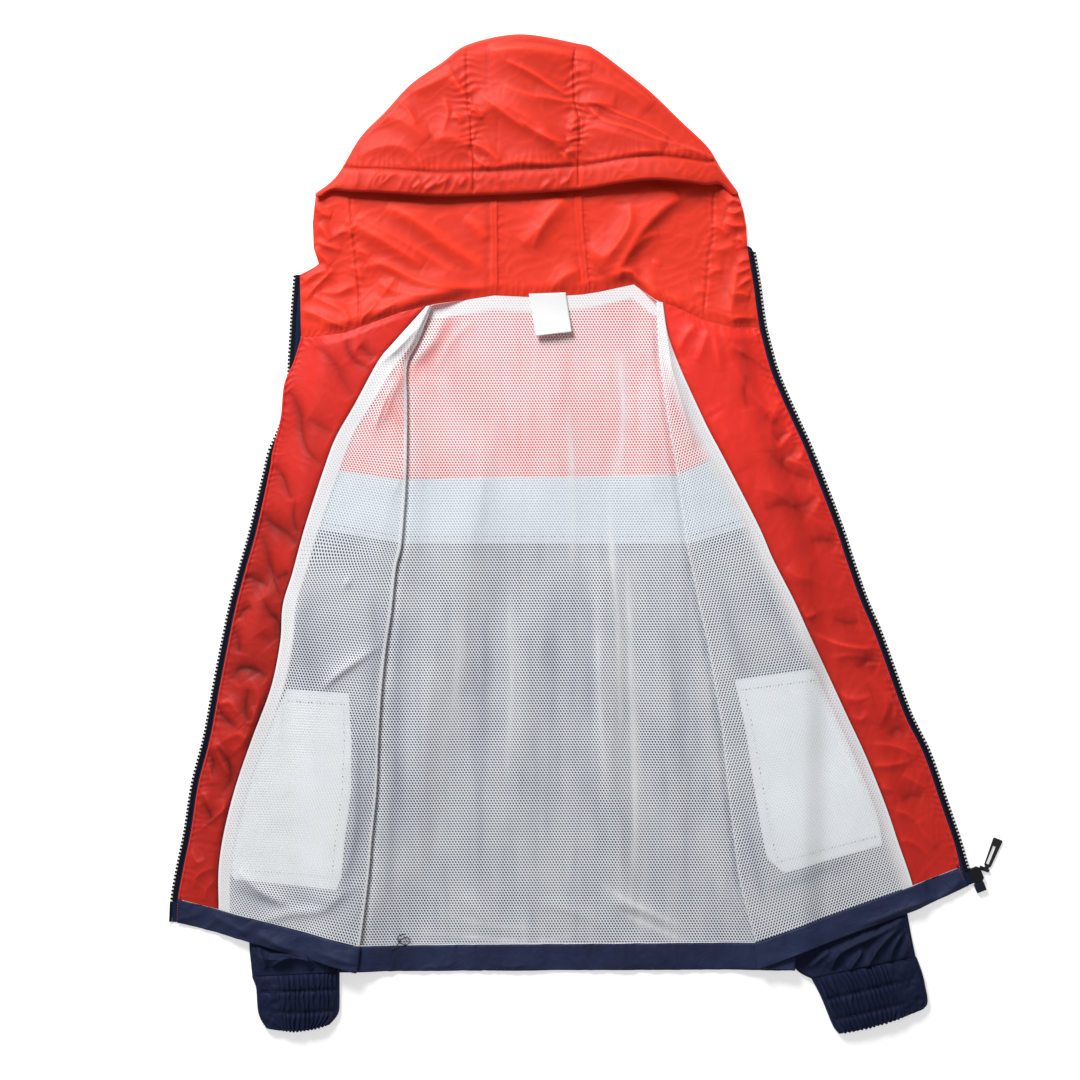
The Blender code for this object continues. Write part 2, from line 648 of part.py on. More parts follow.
def hood_row_points(u):
    """Points of one column: inside ply, crown fold and outside ply down to the tunnel's edge."""
    column, paths, t = hood_column(u)
    out = unit(along(mix_paths(paths, t), 1.0) - along(mix_paths(paths, t), 0.93))
    centre = column.over - (HOOD_TURN + WALL / 2) * out
    neck_z = hood_neck_z(*column.neck, u)
    points = []
    length = np.linalg.norm(column.over - column.neck)
    for i in range(HOOD_INSIDE_STEPS):
        share = i / HOOD_INSIDE_STEPS
        place = mix(along(paths[0], share), along(paths[1], share), t)
        place = place + (centre - column.over) * share
        if i == 0:
            place = place + unit(out) * SEAM / 2
        z = Z_BACK + (neck_z - Z_BACK) * (1 - smooth(share * length / HOOD_NECK_FALL))
        bump = ridge_height(*place, HOOD_RIDGES) if column.front[1] - place[1] > 15 else 0
        points.append((*place, z + bump * smooth(share * 6)))
    for i in range(HOOD_FOLD_STEPS + 1):
        angle = -math.pi / 2 + math.pi * i / HOOD_FOLD_STEPS
        xy = centre + out * HOOD_TURN * math.cos(angle)
        points.append((*xy, Z_BACK + HOOD_TURN + HOOD_TURN * math.sin(angle)))
    crown_z = Z_BACK + 2 * HOOD_TURN
    tunnel = min(TUNNEL_WIDTH / max(np.linalg.norm(column.front - centre), 1), 0.7)
    shares = [(1 - tunnel) * (i + 1) / HOOD_TOP_STEPS for i in range(HOOD_TOP_STEPS)]
    shares += [1 - tunnel * (1 - (i + 1) / TUNNEL_STEPS) for i in range(TUNNEL_STEPS)]
    for share in shares:
        place = mix(centre, column.front, share)
        bump = ridge_height(*place, HOOD_RIDGES) * smooth(4 * (1 - share))
        z = crown_z + (column.rise - crown_z) * smooth(share) + bump
        points.append((*place, z))
    return points


def mix_paths(paths, t):
    shares = np.linspace(0, 1, 15)
    return [mix(along(paths[0], s), along(paths[1], s), t) for s in shares]


def make_hood():
    gap = SEAM / 2 / 45
    spans = (("left", 0, HOOD_SEAMS[0]), ("centre", *HOOD_SEAMS), ("right", HOOD_SEAMS[1], 15))
    for name, first, last in spans:
        places = [u for u in HOOD_COLUMNS if first <= u <= last]
        places[0] += gap if first > 0 else 0
        places[-1] -= gap if last < 15 else 0
        rows = [hood_row_points(u) for u in places]
        body = len(rows[0]) - TUNNEL_STEPS
        share = [[0.5] * body + [1.0] * TUNNEL_STEPS for _ in rows]
        cloth(f"hood_{name}", rows, red_cloth, wall=TUNNEL_WALL, thickness=share)


# ---------------------------------------------------------------- sleeves and cuffs


def flat_ring(outer, inner, height, top_steps, end_steps, bottom_steps, bow=0.0, inset=0.0):
    """A flattened ring that rests on the surface, from outer over the top to inner and back below.

    inset draws the ring in by that much, for the inside of a wall.
    """
    outer, inner = np.asarray(outer, float), np.asarray(inner, float)
    across = unit(inner - outer)
    hand = np.array([across[1], -across[0]])
    if hand[1] > 0:
        hand = -hand
    width = np.linalg.norm(inner - outer)
    end = min(height / 2, SLEEVE_END_RADIUS + 0.5) - inset
    crown = height / 2 - inset - end
    low = inset

    def place(distance, z):
        sag = bow * math.sin(math.pi * min(max(distance / width, 0), 1))
        return (*(outer + across * distance + hand * sag), z)

    ring = []
    first, last = inset + end, width - inset - end
    for i in range(top_steps + 1):
        share = i / top_steps
        top = low + 2 * end + 2 * crown * math.sin(math.pi * share) ** 0.6
        ring.append(place(first + (last - first) * share, top))
    for i in range(1, end_steps):
        angle = math.pi * i / end_steps
        ring.append(place(last + end * math.sin(angle), low + end + end * math.cos(angle)))
    for i in range(bottom_steps + 1):
        ring.append(place(last + (first - last) * i / bottom_steps, low))
    for i in range(1, end_steps):
        angle = math.pi * i / end_steps
        ring.append(place(first - end * math.sin(angle), low + end - end * math.cos(angle)))
    return ring


def make_sleeve(side, table):
    rows = []
    for s in table:
        ring = flat_ring(s.outer, s.inner, s.height - WALL, *SLEEVE_STEPS)
        rows.append([(x, y, z + WALL / 2) for x, y, z in ring])
    cloth(f"sleeve_{side}", rows, navy_cloth, ring=True)


def make_cuff(side, table):
    """A shirred cuff. Its ribs run along the arm, raised on the outside of a plain tube."""
    steps = (2 * RIBS, CUFF_END_STEPS, CUFF_BOTTOM_STEPS)
    outer_rings, inner_rings = [], []
    for s in table:
        outer = flat_ring(s.outer, s.inner, s.height, *steps, s.bow)
        inner = flat_ring(s.outer, s.inner, s.height, *steps, s.bow, CUFF_WALL)
        for i in range(1, 2 * RIBS):
            x, y, z = outer[i]
            ribbed = 1.0 if i / (2 * RIBS) > RIB_FREE else 0.0
            outer[i] = (x, y, z + ribbed * (i % 2) * (RIB_HEIGHT - s.pull))
        outer_rings.append(outer)
        inner_rings.append(inner)
    double_tube(f"cuff_{side}", outer_rings, inner_rings, navy_cloth)


# ---------------------------------------------------------------- zip


def zip_path(front, top):
    """Points up the zip edge from the hem to the zip's top end, and the way out at each."""
    points = [np.array(s.zip, float) for s in reversed(front)] + [np.array(p, float) for p in top]
    sign = -1 if front is FRONT_LEFT else 1
    ways = []
    for i in range(len(points)):
        run = unit(points[min(i + 1, len(points) - 1)] - points[max(i - 1, 0)])
        ways.append(sign * np.array([run[1], -run[0]]))
    return points, ways


def zip_ground(point, front):
    """Middle height of the chain. Beside the slider it rises to run through its channel."""
    z = CHAIN_HEIGHT / 2 + front_z(*point) - Z_BACK
    if front is FRONT_RIGHT:
        away = np.linalg.norm(point - np.array(SLIDER_AT, float))
        z += SLIDER_LIFT * (1 - smooth((away - 20) / SLIDER_LIFT_LENGTH))
    return z


def zip_strip(name, front, top, near, far, height, mat, trim=0.0):
    points, ways = zip_path(front, top)
    if trim:
        points[0] = points[0] + unit(points[1] - points[0]) * trim
    rows = []
    for point, way in zip(points, ways):
        z = zip_ground(point, front)
        rows.append([(*(point + way * d), z) for d in np.linspace(near, far, 2)])
    return cloth(name, rows, mat, wall=height)


def make_zip(side, front, top, trim):
    near, far = SEAM, SEAM + TAPE_WIDTH
    zip_strip(f"zip_tape_{side}", front, top, near, far, WALL, navy_tape)
    near, far = far + SEAM, far + SEAM + CHAIN_WIDTH
    zip_strip(f"zip_chain_{side}", front, top, near, far, CHAIN_HEIGHT, black_plastic, trim)


def slider_frame(x, y, z=0.0):
    """A place in the slider's own axes: x outwards from its middle line, y towards the zip's top."""
    down = unit(SLIDER_DOWN)
    out = np.array([-down[1], down[0]])
    place = Vector((*(np.array(SLIDER_AT) + out * x - down * y), z)) * MM
    return Matrix.Translation(place) @ Matrix.Rotation(math.atan2(out[1], out[0]), 4, "Z")


def box(name, size, matrix, mat, bevel=0.0):
    builder = bmesh.new()
    bmesh.ops.create_cube(builder, size=1)
    bmesh.ops.scale(builder, vec=Vector(size) * MM, verts=builder.verts)
    if bevel:
        edges = builder.edges[:]
        bmesh.ops.bevel(builder, geom=edges, offset=bevel * MM, segments=2, affect="EDGES", profile=0.5)
    bmesh.ops.transform(builder, matrix=matrix, verts=builder.verts)
    mesh = bpy.data.meshes.new(name)
    builder.to_mesh(mesh)
    builder.free()
    return add_object(name, mesh, mat)


def rod(name, radius, start, end, mat, sides=20):
    """A cylinder between two points."""
    start, end = Vector(start), Vector(end)
    size, length = radius * MM, (end - start).length * MM
    builder = bmesh.new()
    bmesh.ops.create_cone(builder, cap_ends=True, segments=sides, radius1=size, radius2=size, depth=length)
    turn = (end - start).to_track_quat("Z", "Y").to_matrix().to_4x4()
    placed = Matrix.Translation((start + end) / 2 * MM) @ turn
    bmesh.ops.transform(builder, matrix=placed, verts=builder.verts)
    mesh = bpy.data.meshes.new(name)
    builder.to_mesh(mesh)
    builder.free()
    return add_object(name, mesh, mat)


def extruded(name, outline, z_low, z_high, mat):
    """A flat outline, given as points in millimetres, made as thick as z_low to z_high."""
    curve = bpy.data.curves.new(name, "CURVE")
    curve.dimensions = "2D"
    curve.fill_mode = "BOTH"
    curve.extrude = 0.5 * (z_high - z_low) * MM
    spline = curve.splines.new("POLY")
    spline.points.add(len(outline) - 1)
    for point, (x, y) in zip(spline.points, outline):
        point.co = (x * MM, y * MM, 0, 1)
    spline.use_cyclic_u = True
    guide = bpy.data.objects.new(name, curve)
    guide.location.z = 0.5 * (z_low + z_high) * MM
    jacket.objects.link(guide)
    bpy.context.view_layer.update()
    mesh = bpy.data.meshes.new_from_object(guide.evaluated_get(bpy.context.evaluated_depsgraph_get()))
    mesh.transform(guide.matrix_world)
    bpy.data.objects.remove(guide)
    builder = bmesh.new()
    builder.from_mesh(mesh)
    bmesh.ops.remove_doubles(builder, verts=builder.verts, dist=1e-6)
    bmesh.ops.recalc_face_normals(builder, faces=builder.faces)
    builder.to_mesh(mesh)
    builder.free()
    mesh.materials.clear()
    return add_object(name, mesh, mat)


def boolean(target, tool, operation):
    cut = target.modifiers.new(operation.lower(), "BOOLEAN")
    cut.operation = operation
    cut.object = tool
    jacket.objects.unlink(tool)
    cutters.objects.link(tool)
    tool.hide_render = True
    tool.display_type = "WIRE"


def chamfered(x0, x1, y0, y1, corner):
    return [
        (x0 + corner, y0), (x1 - corner, y0), (x1, y0 + corner), (x1, y1 - corner),
        (x1 - corner, y1), (x0 + corner, y1), (x0, y1 - corner), (x0, y0 + corner),
    ]


def tab_axes():
    """The pull tab's way along, and its hinge axis, which lifts it when it turns."""
    run = unit(TAB_ALONG)
    return run, np.array([run[1], -run[0]])


def make_slider():
    """Two plates joined by a wedge, and the pin that carries the pull tab."""
    half_width, half_length = SLIDER_WIDTH / 2, SLIDER_LENGTH / 2
    outline = chamfered(-half_width, half_width, -half_length, half_length, SLIDER_CORNER)
    body = extruded("zip_slider", outline, 0, SLIDER_HEIGHT, black_metal)
    body.data.transform(slider_frame(0, 0))
    channel_height = SLIDER_HEIGHT - 2 * SLIDER_PLATE
    channel_width = half_width - WEDGE_WIDTH / 2 + 2
    for name, sign in (("slider_channel_near", -1), ("slider_channel_far", 1)):
        middle = sign * (WEDGE_WIDTH / 2 + channel_width / 2)
        size = (channel_width, SLIDER_LENGTH + 2, channel_height)
        boolean(body, box(name, size, slider_frame(middle, 0, SLIDER_HEIGHT / 2), black_metal), "DIFFERENCE")
    _, axis = tab_axes()
    axis = np.array([*axis, 0])
    pin = np.array(TAB_PIN_AT)
    reach = BARREL_WIDTH / 2 + SEAM
    head, root = pin + axis * reach, pin - axis * (reach + LUG_REACH)
    half_head, end = head + axis * PIN_HEAD_LENGTH / 2, head + axis * PIN_HEAD_LENGTH
    boolean(body, rod("slider_pin", TAB_PIN_RADIUS, root, half_head, black_metal), "UNION")
    boolean(body, rod("slider_pin_head", PIN_HEAD_RADIUS, head, end, black_metal), "UNION")
    turn = Matrix.Rotation(math.atan2(axis[1], axis[0]), 4, "Z")
    placed = Matrix.Translation(Vector(root + axis * LUG_SHIFT) * MM) @ turn
    boolean(body, box("slider_lug", LUG_SIZE, placed, black_metal), "UNION")


def make_pull_tab():
    """A slotted plate on a barrel that turns on the slider's pin."""
    run, axis = tab_axes()
    pin = np.array(TAB_PIN_AT)

    def place(distance, side):
        return tuple(pin[:2] + run * distance + axis * side)

    def half(distance):
        return 0.5 * float(np.interp(distance, (0, TAB_LENGTH), (TAB_NEAR_WIDTH, TAB_FAR_WIDTH)))

    neck, neck_end, shoulder = BARREL_WIDTH / 2, BARREL_RADIUS + 1.5, BARREL_RADIUS + 3
    one_side = [
        (TAB_START, neck), (neck_end, neck), (shoulder, half(shoulder)),
        (TAB_LENGTH - TAB_CORNER, half(TAB_LENGTH)), (TAB_LENGTH, half(TAB_LENGTH) - TAB_CORNER),
    ]
    outline = [place(distance, -side) for distance, side in one_side]
    outline += [place(distance, side) for distance, side in reversed(one_side)]
    tab = extruded("pull_tab", outline, TAB_LOW, TAB_LOW + TAB_THICKNESS, black_rubber)
    half_barrel = np.array([*(axis * BARREL_WIDTH / 2), 0])
    boolean(tab, rod("tab_barrel", BARREL_RADIUS, pin - half_barrel, pin + half_barrel, black_rubber), "UNION")
    bore = np.array([*(axis * (BARREL_WIDTH / 2 + 1)), 0])
    boolean(tab, rod("tab_bore", BARREL_BORE, pin - bore, pin + bore, black_rubber), "DIFFERENCE")
    near, far = TAB_SLOT_OFFSET - TAB_SLOT_WIDTH / 2, TAB_SLOT_OFFSET + TAB_SLOT_WIDTH / 2
    corners = ((TAB_SLOT_FROM, near), (TAB_SLOT_TO, near), (TAB_SLOT_TO, far), (TAB_SLOT_FROM, far))
    slot = [place(distance, side) for distance, side in corners]
    cutter = extruded("tab_slot", slot, TAB_LOW - 1, TAB_LOW + TAB_THICKNESS + 1, black_rubber)
    boolean(tab, cutter, "DIFFERENCE")


def make_zip_ends():
    """The retainer box below the slider, and the insertion pin at the foot of the left chain."""
    width = BOX_RIGHT - BOX_LEFT
    down = SLIDER_LENGTH / 2 + SEAM + BOX_LENGTH / 2
    frame = slider_frame(0.5 * (BOX_LEFT + BOX_RIGHT), -down, SLIDER_HEIGHT / 2)
    box("zip_box", (width, BOX_LENGTH, SLIDER_HEIGHT), frame, navy_plastic, bevel=0.8)
    points, ways = zip_path(FRONT_LEFT, ZIP_LEFT_TOP)
    run = unit(points[1] - points[0])
    offset = SEAM * 2 + TAPE_WIDTH + PIN_ROD_SIZE[0] / 2 + 0.2
    middle = points[0] + run * PIN_ROD_SIZE[1] / 2 + ways[0] * offset
    turn = Matrix.Rotation(math.atan2(run[1], run[0]) - math.pi / 2, 4, "Z")
    place = Matrix.Translation(Vector((*middle, CHAIN_HEIGHT / 2)) * MM) @ turn
    box("zip_pin", PIN_ROD_SIZE, place, black_plastic, bevel=0.5)


# ---------------------------------------------------------------- label


def make_label():
    """A cloth label sewn into the neck seam, its lower corners a little raised."""
    rows = []
    for i in range(LABEL_STEPS + 1):
        t = i / LABEL_STEPS
        left = mix(LABEL_TOP_LEFT, LABEL_BOTTOM_LEFT, t)
        right = mix(LABEL_TOP_RIGHT, LABEL_BOTTOM_RIGHT, t)
        row = []
        for x, y in spaced(left, right, LABEL_STEPS):
            z = Z_BACK_LINING + lift(x, y) + LABEL_ABOVE_LINING + LABEL_CURL * t ** 3
            row.append((x, y - SEAM, z))
        rows.append(row)
    cloth("neck_label", rows, white_cloth)


for old in list(bpy.data.objects):
    bpy.data.objects.remove(old, do_unlink=True)
jacket = bpy.data.collections.new("windbreaker_jacket")
cutters = bpy.data.collections.new("cutters")
bpy.context.scene.collection.children.link(jacket)
bpy.context.scene.collection.children.link(cutters)

red_cloth = material("red_cloth", RED, 0.42, sheen=0.25)
navy_cloth = material("navy_cloth", NAVY, 0.5, sheen=0.25)
pale_cloth = material("pale_cloth", PALE, 0.55, sheen=0.2)
white_cloth = material("white_cloth", WHITE, 0.7, sheen=0.2)
mesh_cloth = material("mesh_cloth", MESH, 0.75, sheen=0.2)
navy_tape = material("navy_tape", NAVY, 0.7)
black_plastic = material("black_plastic", BLACK, 0.4)
navy_plastic = material("navy_plastic", NAVY, 0.4)
black_metal = material("black_metal", BLACK, 0.35, metallic=0.6)
black_rubber = material("black_rubber", BLACK, 0.6)

make_back()
make_front("left", FRONT_LEFT)
make_front("right", FRONT_RIGHT)
make_hood()
make_sleeve("left", SLEEVE_LEFT)
make_sleeve("right", SLEEVE_RIGHT)
make_cuff("left", CUFF_LEFT)
make_cuff("right", CUFF_RIGHT)
make_zip("left", FRONT_LEFT, ZIP_LEFT_TOP, trim=PIN_ROD_SIZE[1] + SEAM)
make_zip("right", FRONT_RIGHT, ZIP_RIGHT_TOP, trim=0)
make_slider()
make_pull_tab()
make_zip_ends()
make_label()
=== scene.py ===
"""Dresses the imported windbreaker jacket: thin cloth on its solids, stitching, zip, materials and light.

Left and right are as seen from above. Sizes in the tables are in millimetres, in the row frame.
"""

import math
from collections import namedtuple
from functools import partial

import bpy
import numpy as np
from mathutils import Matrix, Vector


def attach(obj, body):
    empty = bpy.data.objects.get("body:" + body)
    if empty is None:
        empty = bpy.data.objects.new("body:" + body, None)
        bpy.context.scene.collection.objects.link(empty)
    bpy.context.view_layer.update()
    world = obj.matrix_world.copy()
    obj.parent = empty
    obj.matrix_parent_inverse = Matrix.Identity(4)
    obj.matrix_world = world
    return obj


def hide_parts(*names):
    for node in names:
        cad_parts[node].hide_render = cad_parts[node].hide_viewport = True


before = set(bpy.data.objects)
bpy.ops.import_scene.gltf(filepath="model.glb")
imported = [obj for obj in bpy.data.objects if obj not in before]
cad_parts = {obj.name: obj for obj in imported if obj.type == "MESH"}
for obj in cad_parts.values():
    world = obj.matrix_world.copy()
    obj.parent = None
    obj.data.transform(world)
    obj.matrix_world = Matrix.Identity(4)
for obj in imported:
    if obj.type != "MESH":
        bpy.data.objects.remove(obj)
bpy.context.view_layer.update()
MM = 0.001

# ---------------------------------------------------------------- the cut, as in the solids

Z_BACK, Z_BACK_LINING = 0.5, 1.8
Z_INNER_LINING, Z_INNER_FRONT, Z_FRONT = 4.1, 5.5, 7.2
LINING_ABOVE_FRONT, POCKET_ABOVE_FRONT, FACING_ABOVE_FRONT = 2.4, 1.2, 1.3
SIDE_TURN, FOLD_TURN, FOLD_NARROW, FOLD_RADIUS = 3.0, 3.65, 1.1, 0.85
PILE, PILE_MARGIN, PILE_FALL = Z_FRONT - Z_BACK, 4, 30

# Front panels, a row for each station from the neck seam to the hem. The columns are x and y on the side
# seam, on the fold, on the facing's seam and at the zip.
AT_SIDE, AT_FOLD, AT_SEAM, AT_ZIP = slice(0, 2), slice(2, 4), slice(4, 6), slice(6, 8)
FRONT_LEFT = np.array([
    (-273, 198, -161, 247, -169, 245, -305, 211),
    (-279, 171, -176, 208, -205, 205, -313, 185),
    (-283, 149, -188, 183, -221, 185, -323, 161),
    (-289, 117, -188, 144, -246, 139, -327, 124),
    (-295, 84, -188, 110, -266, 104, -336, 87),
    (-300, 57, -189, 57, -279, 70, -339, 68),
    (-306, -11, -194, -11, -300, 6, -353, 3),
    (-305, -45, -200, -38, -313, -42, -365, -40),
    (-300, -94, -205, -85, -324, -78, -375, -78),
    (-296, -132, -211, -126, -327, -118, -383, -116),
    (-292, -175, -216, -175, -337, -167, -393, -167),
    (-286, -229, -219, -225, -357, -221, -403, -221),
    (-282, -278, -221, -278, -375, -273, -416, -272),
    (-275, -332, -226, -329, -388, -323, -424, -323),
    (-271, -375, -230, -375, -394, -364, -432, -362),
    (-267, -446, -239, -446, -394, -407, -438, -396),
    (-265, -474, -243, -474, -395, -432, -439, -421),
], float)
FRONT_RIGHT = np.array([
    (150, 203, 78, 252, 86, 249, 191, 222),
    (157, 176, 79, 219, 92, 214, 194, 210),
    (163, 152, 81, 187, 104, 180, 203, 177),
    (172, 122, 87, 144, 119, 146, 215, 147),
    (180, 97, 93, 104, 135, 112, 229, 116),
    (193, 64, 100, 64, 150, 84, 242, 87),
    (218, -11, 110, -12, 188, 10, 272, 10),
    (226, -51, 117, -45, 205, -29, 285, -29),
    (230, -89, 124, -81, 227, -72, 300, -72),
    (233, -126, 133, -121, 243, -107, 315, -107),
    (233, -170, 140, -161, 261, -145, 329, -145),
    (232, -218, 148, -210, 285, -197, 348, -197),
    (232, -267, 153, -261, 305, -240, 369, -240),
    (231, -321, 160, -321, 326, -292, 387, -292),
    (230, -380, 168, -379, 340, -333, 401, -333),
    (230, -442, 184, -441, 356, -381, 409, -361),
    (229, -472, 188, -469, 357, -408, 417, -381),
], float)
NECK, YOKE_END, BAND_END, HEM_TOP, HEM_END = 0, 5, 6, 15, 16
# How far cuts stop short of their seams, in stations, and the steps across a front's inner ply.
STATION_TRIM, INNER_STEPS = 0.004, 17

# The hood, a row for each of its columns from left to right. The entries are x and y on the neck seam, on
# the crown's fold and on the front edge, and the height of that edge.
ON_NECK, ON_CROWN, ON_FRONT, RISE = slice(0, 2), slice(2, 4), slice(4, 6), slice(6, 7)
HOOD = np.array([
    (-305, 211, -289, 368, -281, 364, 8),
    (-286, 212, -266, 387, -270, 370, 10),
    (-257, 216, -241, 428, -249, 368, 13),
    (-228, 227, -214, 456, -221, 367, 15),
    (-198, 238, -186, 486, -192, 365, 15),
    (-161, 247, -153, 509, -158, 363, 14),
    (-96, 257, -124, 529, -119, 364, 12),
    (-50, 255, -68, 540, -65, 366, 12),
    (-1, 258, -6, 530, -5, 370, 13),
    (18, 261, 13, 524, 11, 372, 14),
    (55, 269, 43, 502, 42, 377, 19),
    (78, 252, 75, 476, 75, 380, 22),
    (105, 242, 106, 446, 106, 378, 22),
    (130, 230, 135, 418, 132, 375, 17),
    (162, 222, 149, 395, 148, 376, 11),
    (191, 222, 167, 370, 160, 366, 8),
], float)
HOOD_SEAMS = (6, 8)
# Points that the hood's inside keeps to between neck and crown, by column.
HOOD_BENDS = {
    0: [(-306, 281), (-285, 292), (-291, 311), (-292, 338)],
    1: [(-278, 290)],
    6: [(-99, 361)],
    8: [(-8, 364)],
    14: [(168, 300)],
    15: [(188, 241), (184, 271), (177, 312), (176, 333), (173, 350)],
}
HOOD_TURN, HOOD_NECK_FALL, TUNNEL_WIDTH = 3.5, 50, 26
NECK_ABOVE, NECK_SOFT = 1.2, 14

# Sleeves and cuffs by cross-section from the armhole to the hand, each a flattened ring. The columns are x
# and y of its outer and its inner end, its height and, on cuffs, how far it bows to the hand.
OUTER, INNER, HEIGHT, BOW = slice(0, 2), slice(2, 4), 4, 5
SLEEVE_LEFT = np.array([
    (-302, -25, -262, 191, 3.4),
    (-308, -42, -206, 161, 3.4),
    (-319, -59, -161, 90, 3.4),
    (-333, -79, -146, -8, 3.4),
    (-345, -116, -154, -105, 3.4),
    (-352, -180, -176, -180, 3.4),
    (-359, -267, -203, -267, 3.4),
    (-361, -353, -230, -353, 3.4),
    (-361, -413, -249, -413, 4.0),
    (-361, -445, -260, -450, 4.6),
    (-359, -467, -264, -468, 6.5),
    (-357.5, -480, -263.5, -475, 8.5),
], float)
SLEEVE_RIGHT = np.array([
    (221, -25, 148, 191, 3.4),
    (230, -42, 112, 147, 3.4),
    (243, -62, 92, 59, 3.4),
    (258, -83, 94, -45, 3.4),
    (275, -121, 103, -126, 3.4),
    (295, -180, 119, -197, 3.4),
    (318, -267, 159, -299, 3.4),
    (337, -353, 191, -383, 3.4),
    (348, -396, 214, -431, 4.0),
    (355, -434, 228, -469, 4.8),
    (360, -459, 247, -482, 8.5),
], float)
CUFF_LEFT = np.array([
    (-357.5, -479.5, -263.5, -474.5, 9.5, 0),
    (-353.5, -490, -263.5, -486, 11, 0),
    (-352.5, -498, -263.5, -495, 11.5, 0),
    (-352, -507, -263.5, -506, 12, 1),
    (-351, -517, -264, -516, 11.5, 2),
    (-348, -526, -267, -523, 11, 4),
    (-342, -535, -274, -531, 9.5, 5),
], float)
CUFF_RIGHT = np.array([
    (360.3, -458.5, 247.3, -481.5, 9.5, 0),
    (365, -471, 255, -496, 11, 0),
    (368, -481, 260, -507, 11.5, 0),
    (370, -491, 264, -517, 12, 0),
    (372, -501, 268, -527, 11.5, 1),
    (372, -509, 272, -535, 11, 2),
    (368, -514, 277, -541, 9.5, 3),
], float)
RING_END_RADIUS = 3.5
SLEEVE_WALL, CUFF_WALL = 0.8, 1.0
# How many steps a ring has along its top, round each end and along its bottom.
SLEEVE_STEPS, CUFF_STEPS, CUFF_ROWS = (110, 8, 30), (190, 8, 60), 76
# The cuffs' ribs stand this far apart, from the share across where the shirring begins. Elastic draws them
# in along two rows, at these shares of the way to the hand.
RIB_PITCH, SHIRRED_FROM, DRAWN_ROWS = 5.6, 0.20, (0.30, 0.66)
# How the body's layers fall off beside the sleeves under them.
SLEEVE_CLEARANCE, SLEEVE_MARGIN = 1.1, 10
FALL_INWARD, FALL_OUTWARD, FALL_ABOVE = 62, 25, 45

# Pocket bags: station, and how far across the lining they begin and end.
POCKETS = {"left": np.array([
    (10, 0.28, 0.85), (11, 0.20, 0.94), (12, 0.17, 0.96), (13, 0.17, 0.96), (14, 0.17, 0.95),
    (14.22, 0.20, 0.88),
]), "right": np.array([
    (10, 0.17, 0.90), (11, 0.17, 0.91), (12, 0.17, 0.92), (13, 0.17, 0.93), (13.65, 0.18, 0.92),
    (14, 0.27, 0.90),
])}

# The upper ends of the zip, where they leave the fronts' own zip edge.
ZIP_LEFT_TOP = [
    (-337, 70), (-333, 87), (-322, 112), (-315, 140), (-312, 165), (-311, 187), (-309.5, 212), (-307.5, 245),
    (-304.6, 281),
]
ZIP_RIGHT_TOP = [(191, 222), (188, 241), (184, 271), (177, 312)]
ZIPS = {"left": (FRONT_LEFT, ZIP_LEFT_TOP), "right": (FRONT_RIGHT, ZIP_RIGHT_TOP)}
# The gap at the seams, and the zip tape's reach beyond it and under the cloth.
SEAM = 0.3
TAPE_WIDTH, CHAIN_HEIGHT = 5.1, 2.6
TAPE_TUCK, TAPE_END_RADIUS, TAPE_STEP = 4.5, 6, 2.0
TAPE_COLUMNS = (-TAPE_TUCK, -1.5, 0, 1.2, 2.4, 3.6, 4.6, 5.2)
# How far a facing bulges up over its zip, where, and over how much of its length.
OVER_ZIP, OVER_ZIP_AT, OVER_ZIP_REACH = {"left": 3.2, "right": 0}, 140, 34
# How far the teeth stop short of the tape's ends at the hem and at the top, and of the slider.
TOOTH_PITCH, TOOTHLESS, SLIDER_CLEAR = 4.1, {"left": (24, 3), "right": (10, 9)}, 10.5
SLIDER_AT, SLIDER_LIFT, SLIDER_LIFT_LENGTH = (425, -370), 1.5, 60

# The label's corners: top left, top right, bottom left and bottom right.
LABEL = ((-58.5, 259), (-18.5, 260.5), (-51, 213), (-12, 217.5))

# The felled seams inside the hood, the stitched ends of its tunnel and the seams on its crown: x by y.
WELT_WIDTH = 8.5
WELT_LEFT = ((259, 363), (-91.6, -92.2))
WELT_RIGHT = ((265, 315, 356), (-1, -6, -9))
TUNNEL_END_LEFT = ((219, 259, 351), (-240.8, -241.9, -251.6))
TUNNEL_END_RIGHT = ((236, 262, 299, 323), (130, 133, 136, 141))
CROWN_SEAM_LEFT = ((402, 422, 447, 463, 488, 514, 529), (-118, -120, -121, -124, -125, -126, -125))
CROWN_SEAM_RIGHT = ((389, 422, 447, 466, 504, 521, 529), (-5, -4, -4, -9, -10, -9, -5))
TOP_STEPS = 100
# How strongly the tunnel is gathered, by column of the hood.
SCALLOPS = ((0, 1.5, 2, 5, 8, 11, 15), (0.2, 0.3, 1, 1, 0.6, 0.4, 0.3))
# Widths by station of the double strip of mesh beside each facing, and of the allowance under it.
STRIP_WIDTH = ((0, 2, 6, 15), (26, 20, 15, 13))
ALLOWANCE_WIDTH = ((0, 2, 6, 15), (14, 13, 12, 12))
# Over how many millimetres that strip thins out.
STRIP_FADE = {"left": 2.0, "right": 15.0}
# The facings' painted shade at the hem, and the painted light that is added to it at the neck.
FACING_PAINTED_SHADE = {"left": (-0.19, 0.28), "right": (0.0, 0.34)}
# How much closed the mesh looks along the edge of each turned-out front.
FOLD_HEM = {"left": 1.5, "right": 0.4}
# How much lighter the hood and each pocket bag are made. On the pockets it is painted light, more on the
# right one.
HOOD_SHADE, POCKET_PAINTED_LIGHT = 0.035, {"left": 0.03, "right": 0.22}
POCKET_STITCH_IN, POCKET_SIDE_STITCH = 0.24, 0.08
BAND_STITCHES_AT = 5.87
# The hem band: its width, its wall on the fronts and the back, how far it stops short of its ends in
# stations, how far stitches lie above its middle, and the heights of the fronts' plies.
HEM_WIDTH, HEM_WALL, HEM_BACK_WALL, HEM_TRIM, HEM_HALF_WALL = 27, 2.0, 1.9, 0.012, 1.1
HEM_PLIES = {"above": 1.1, "low": 1.05, "inner": 4.75, "radius": 1.75}
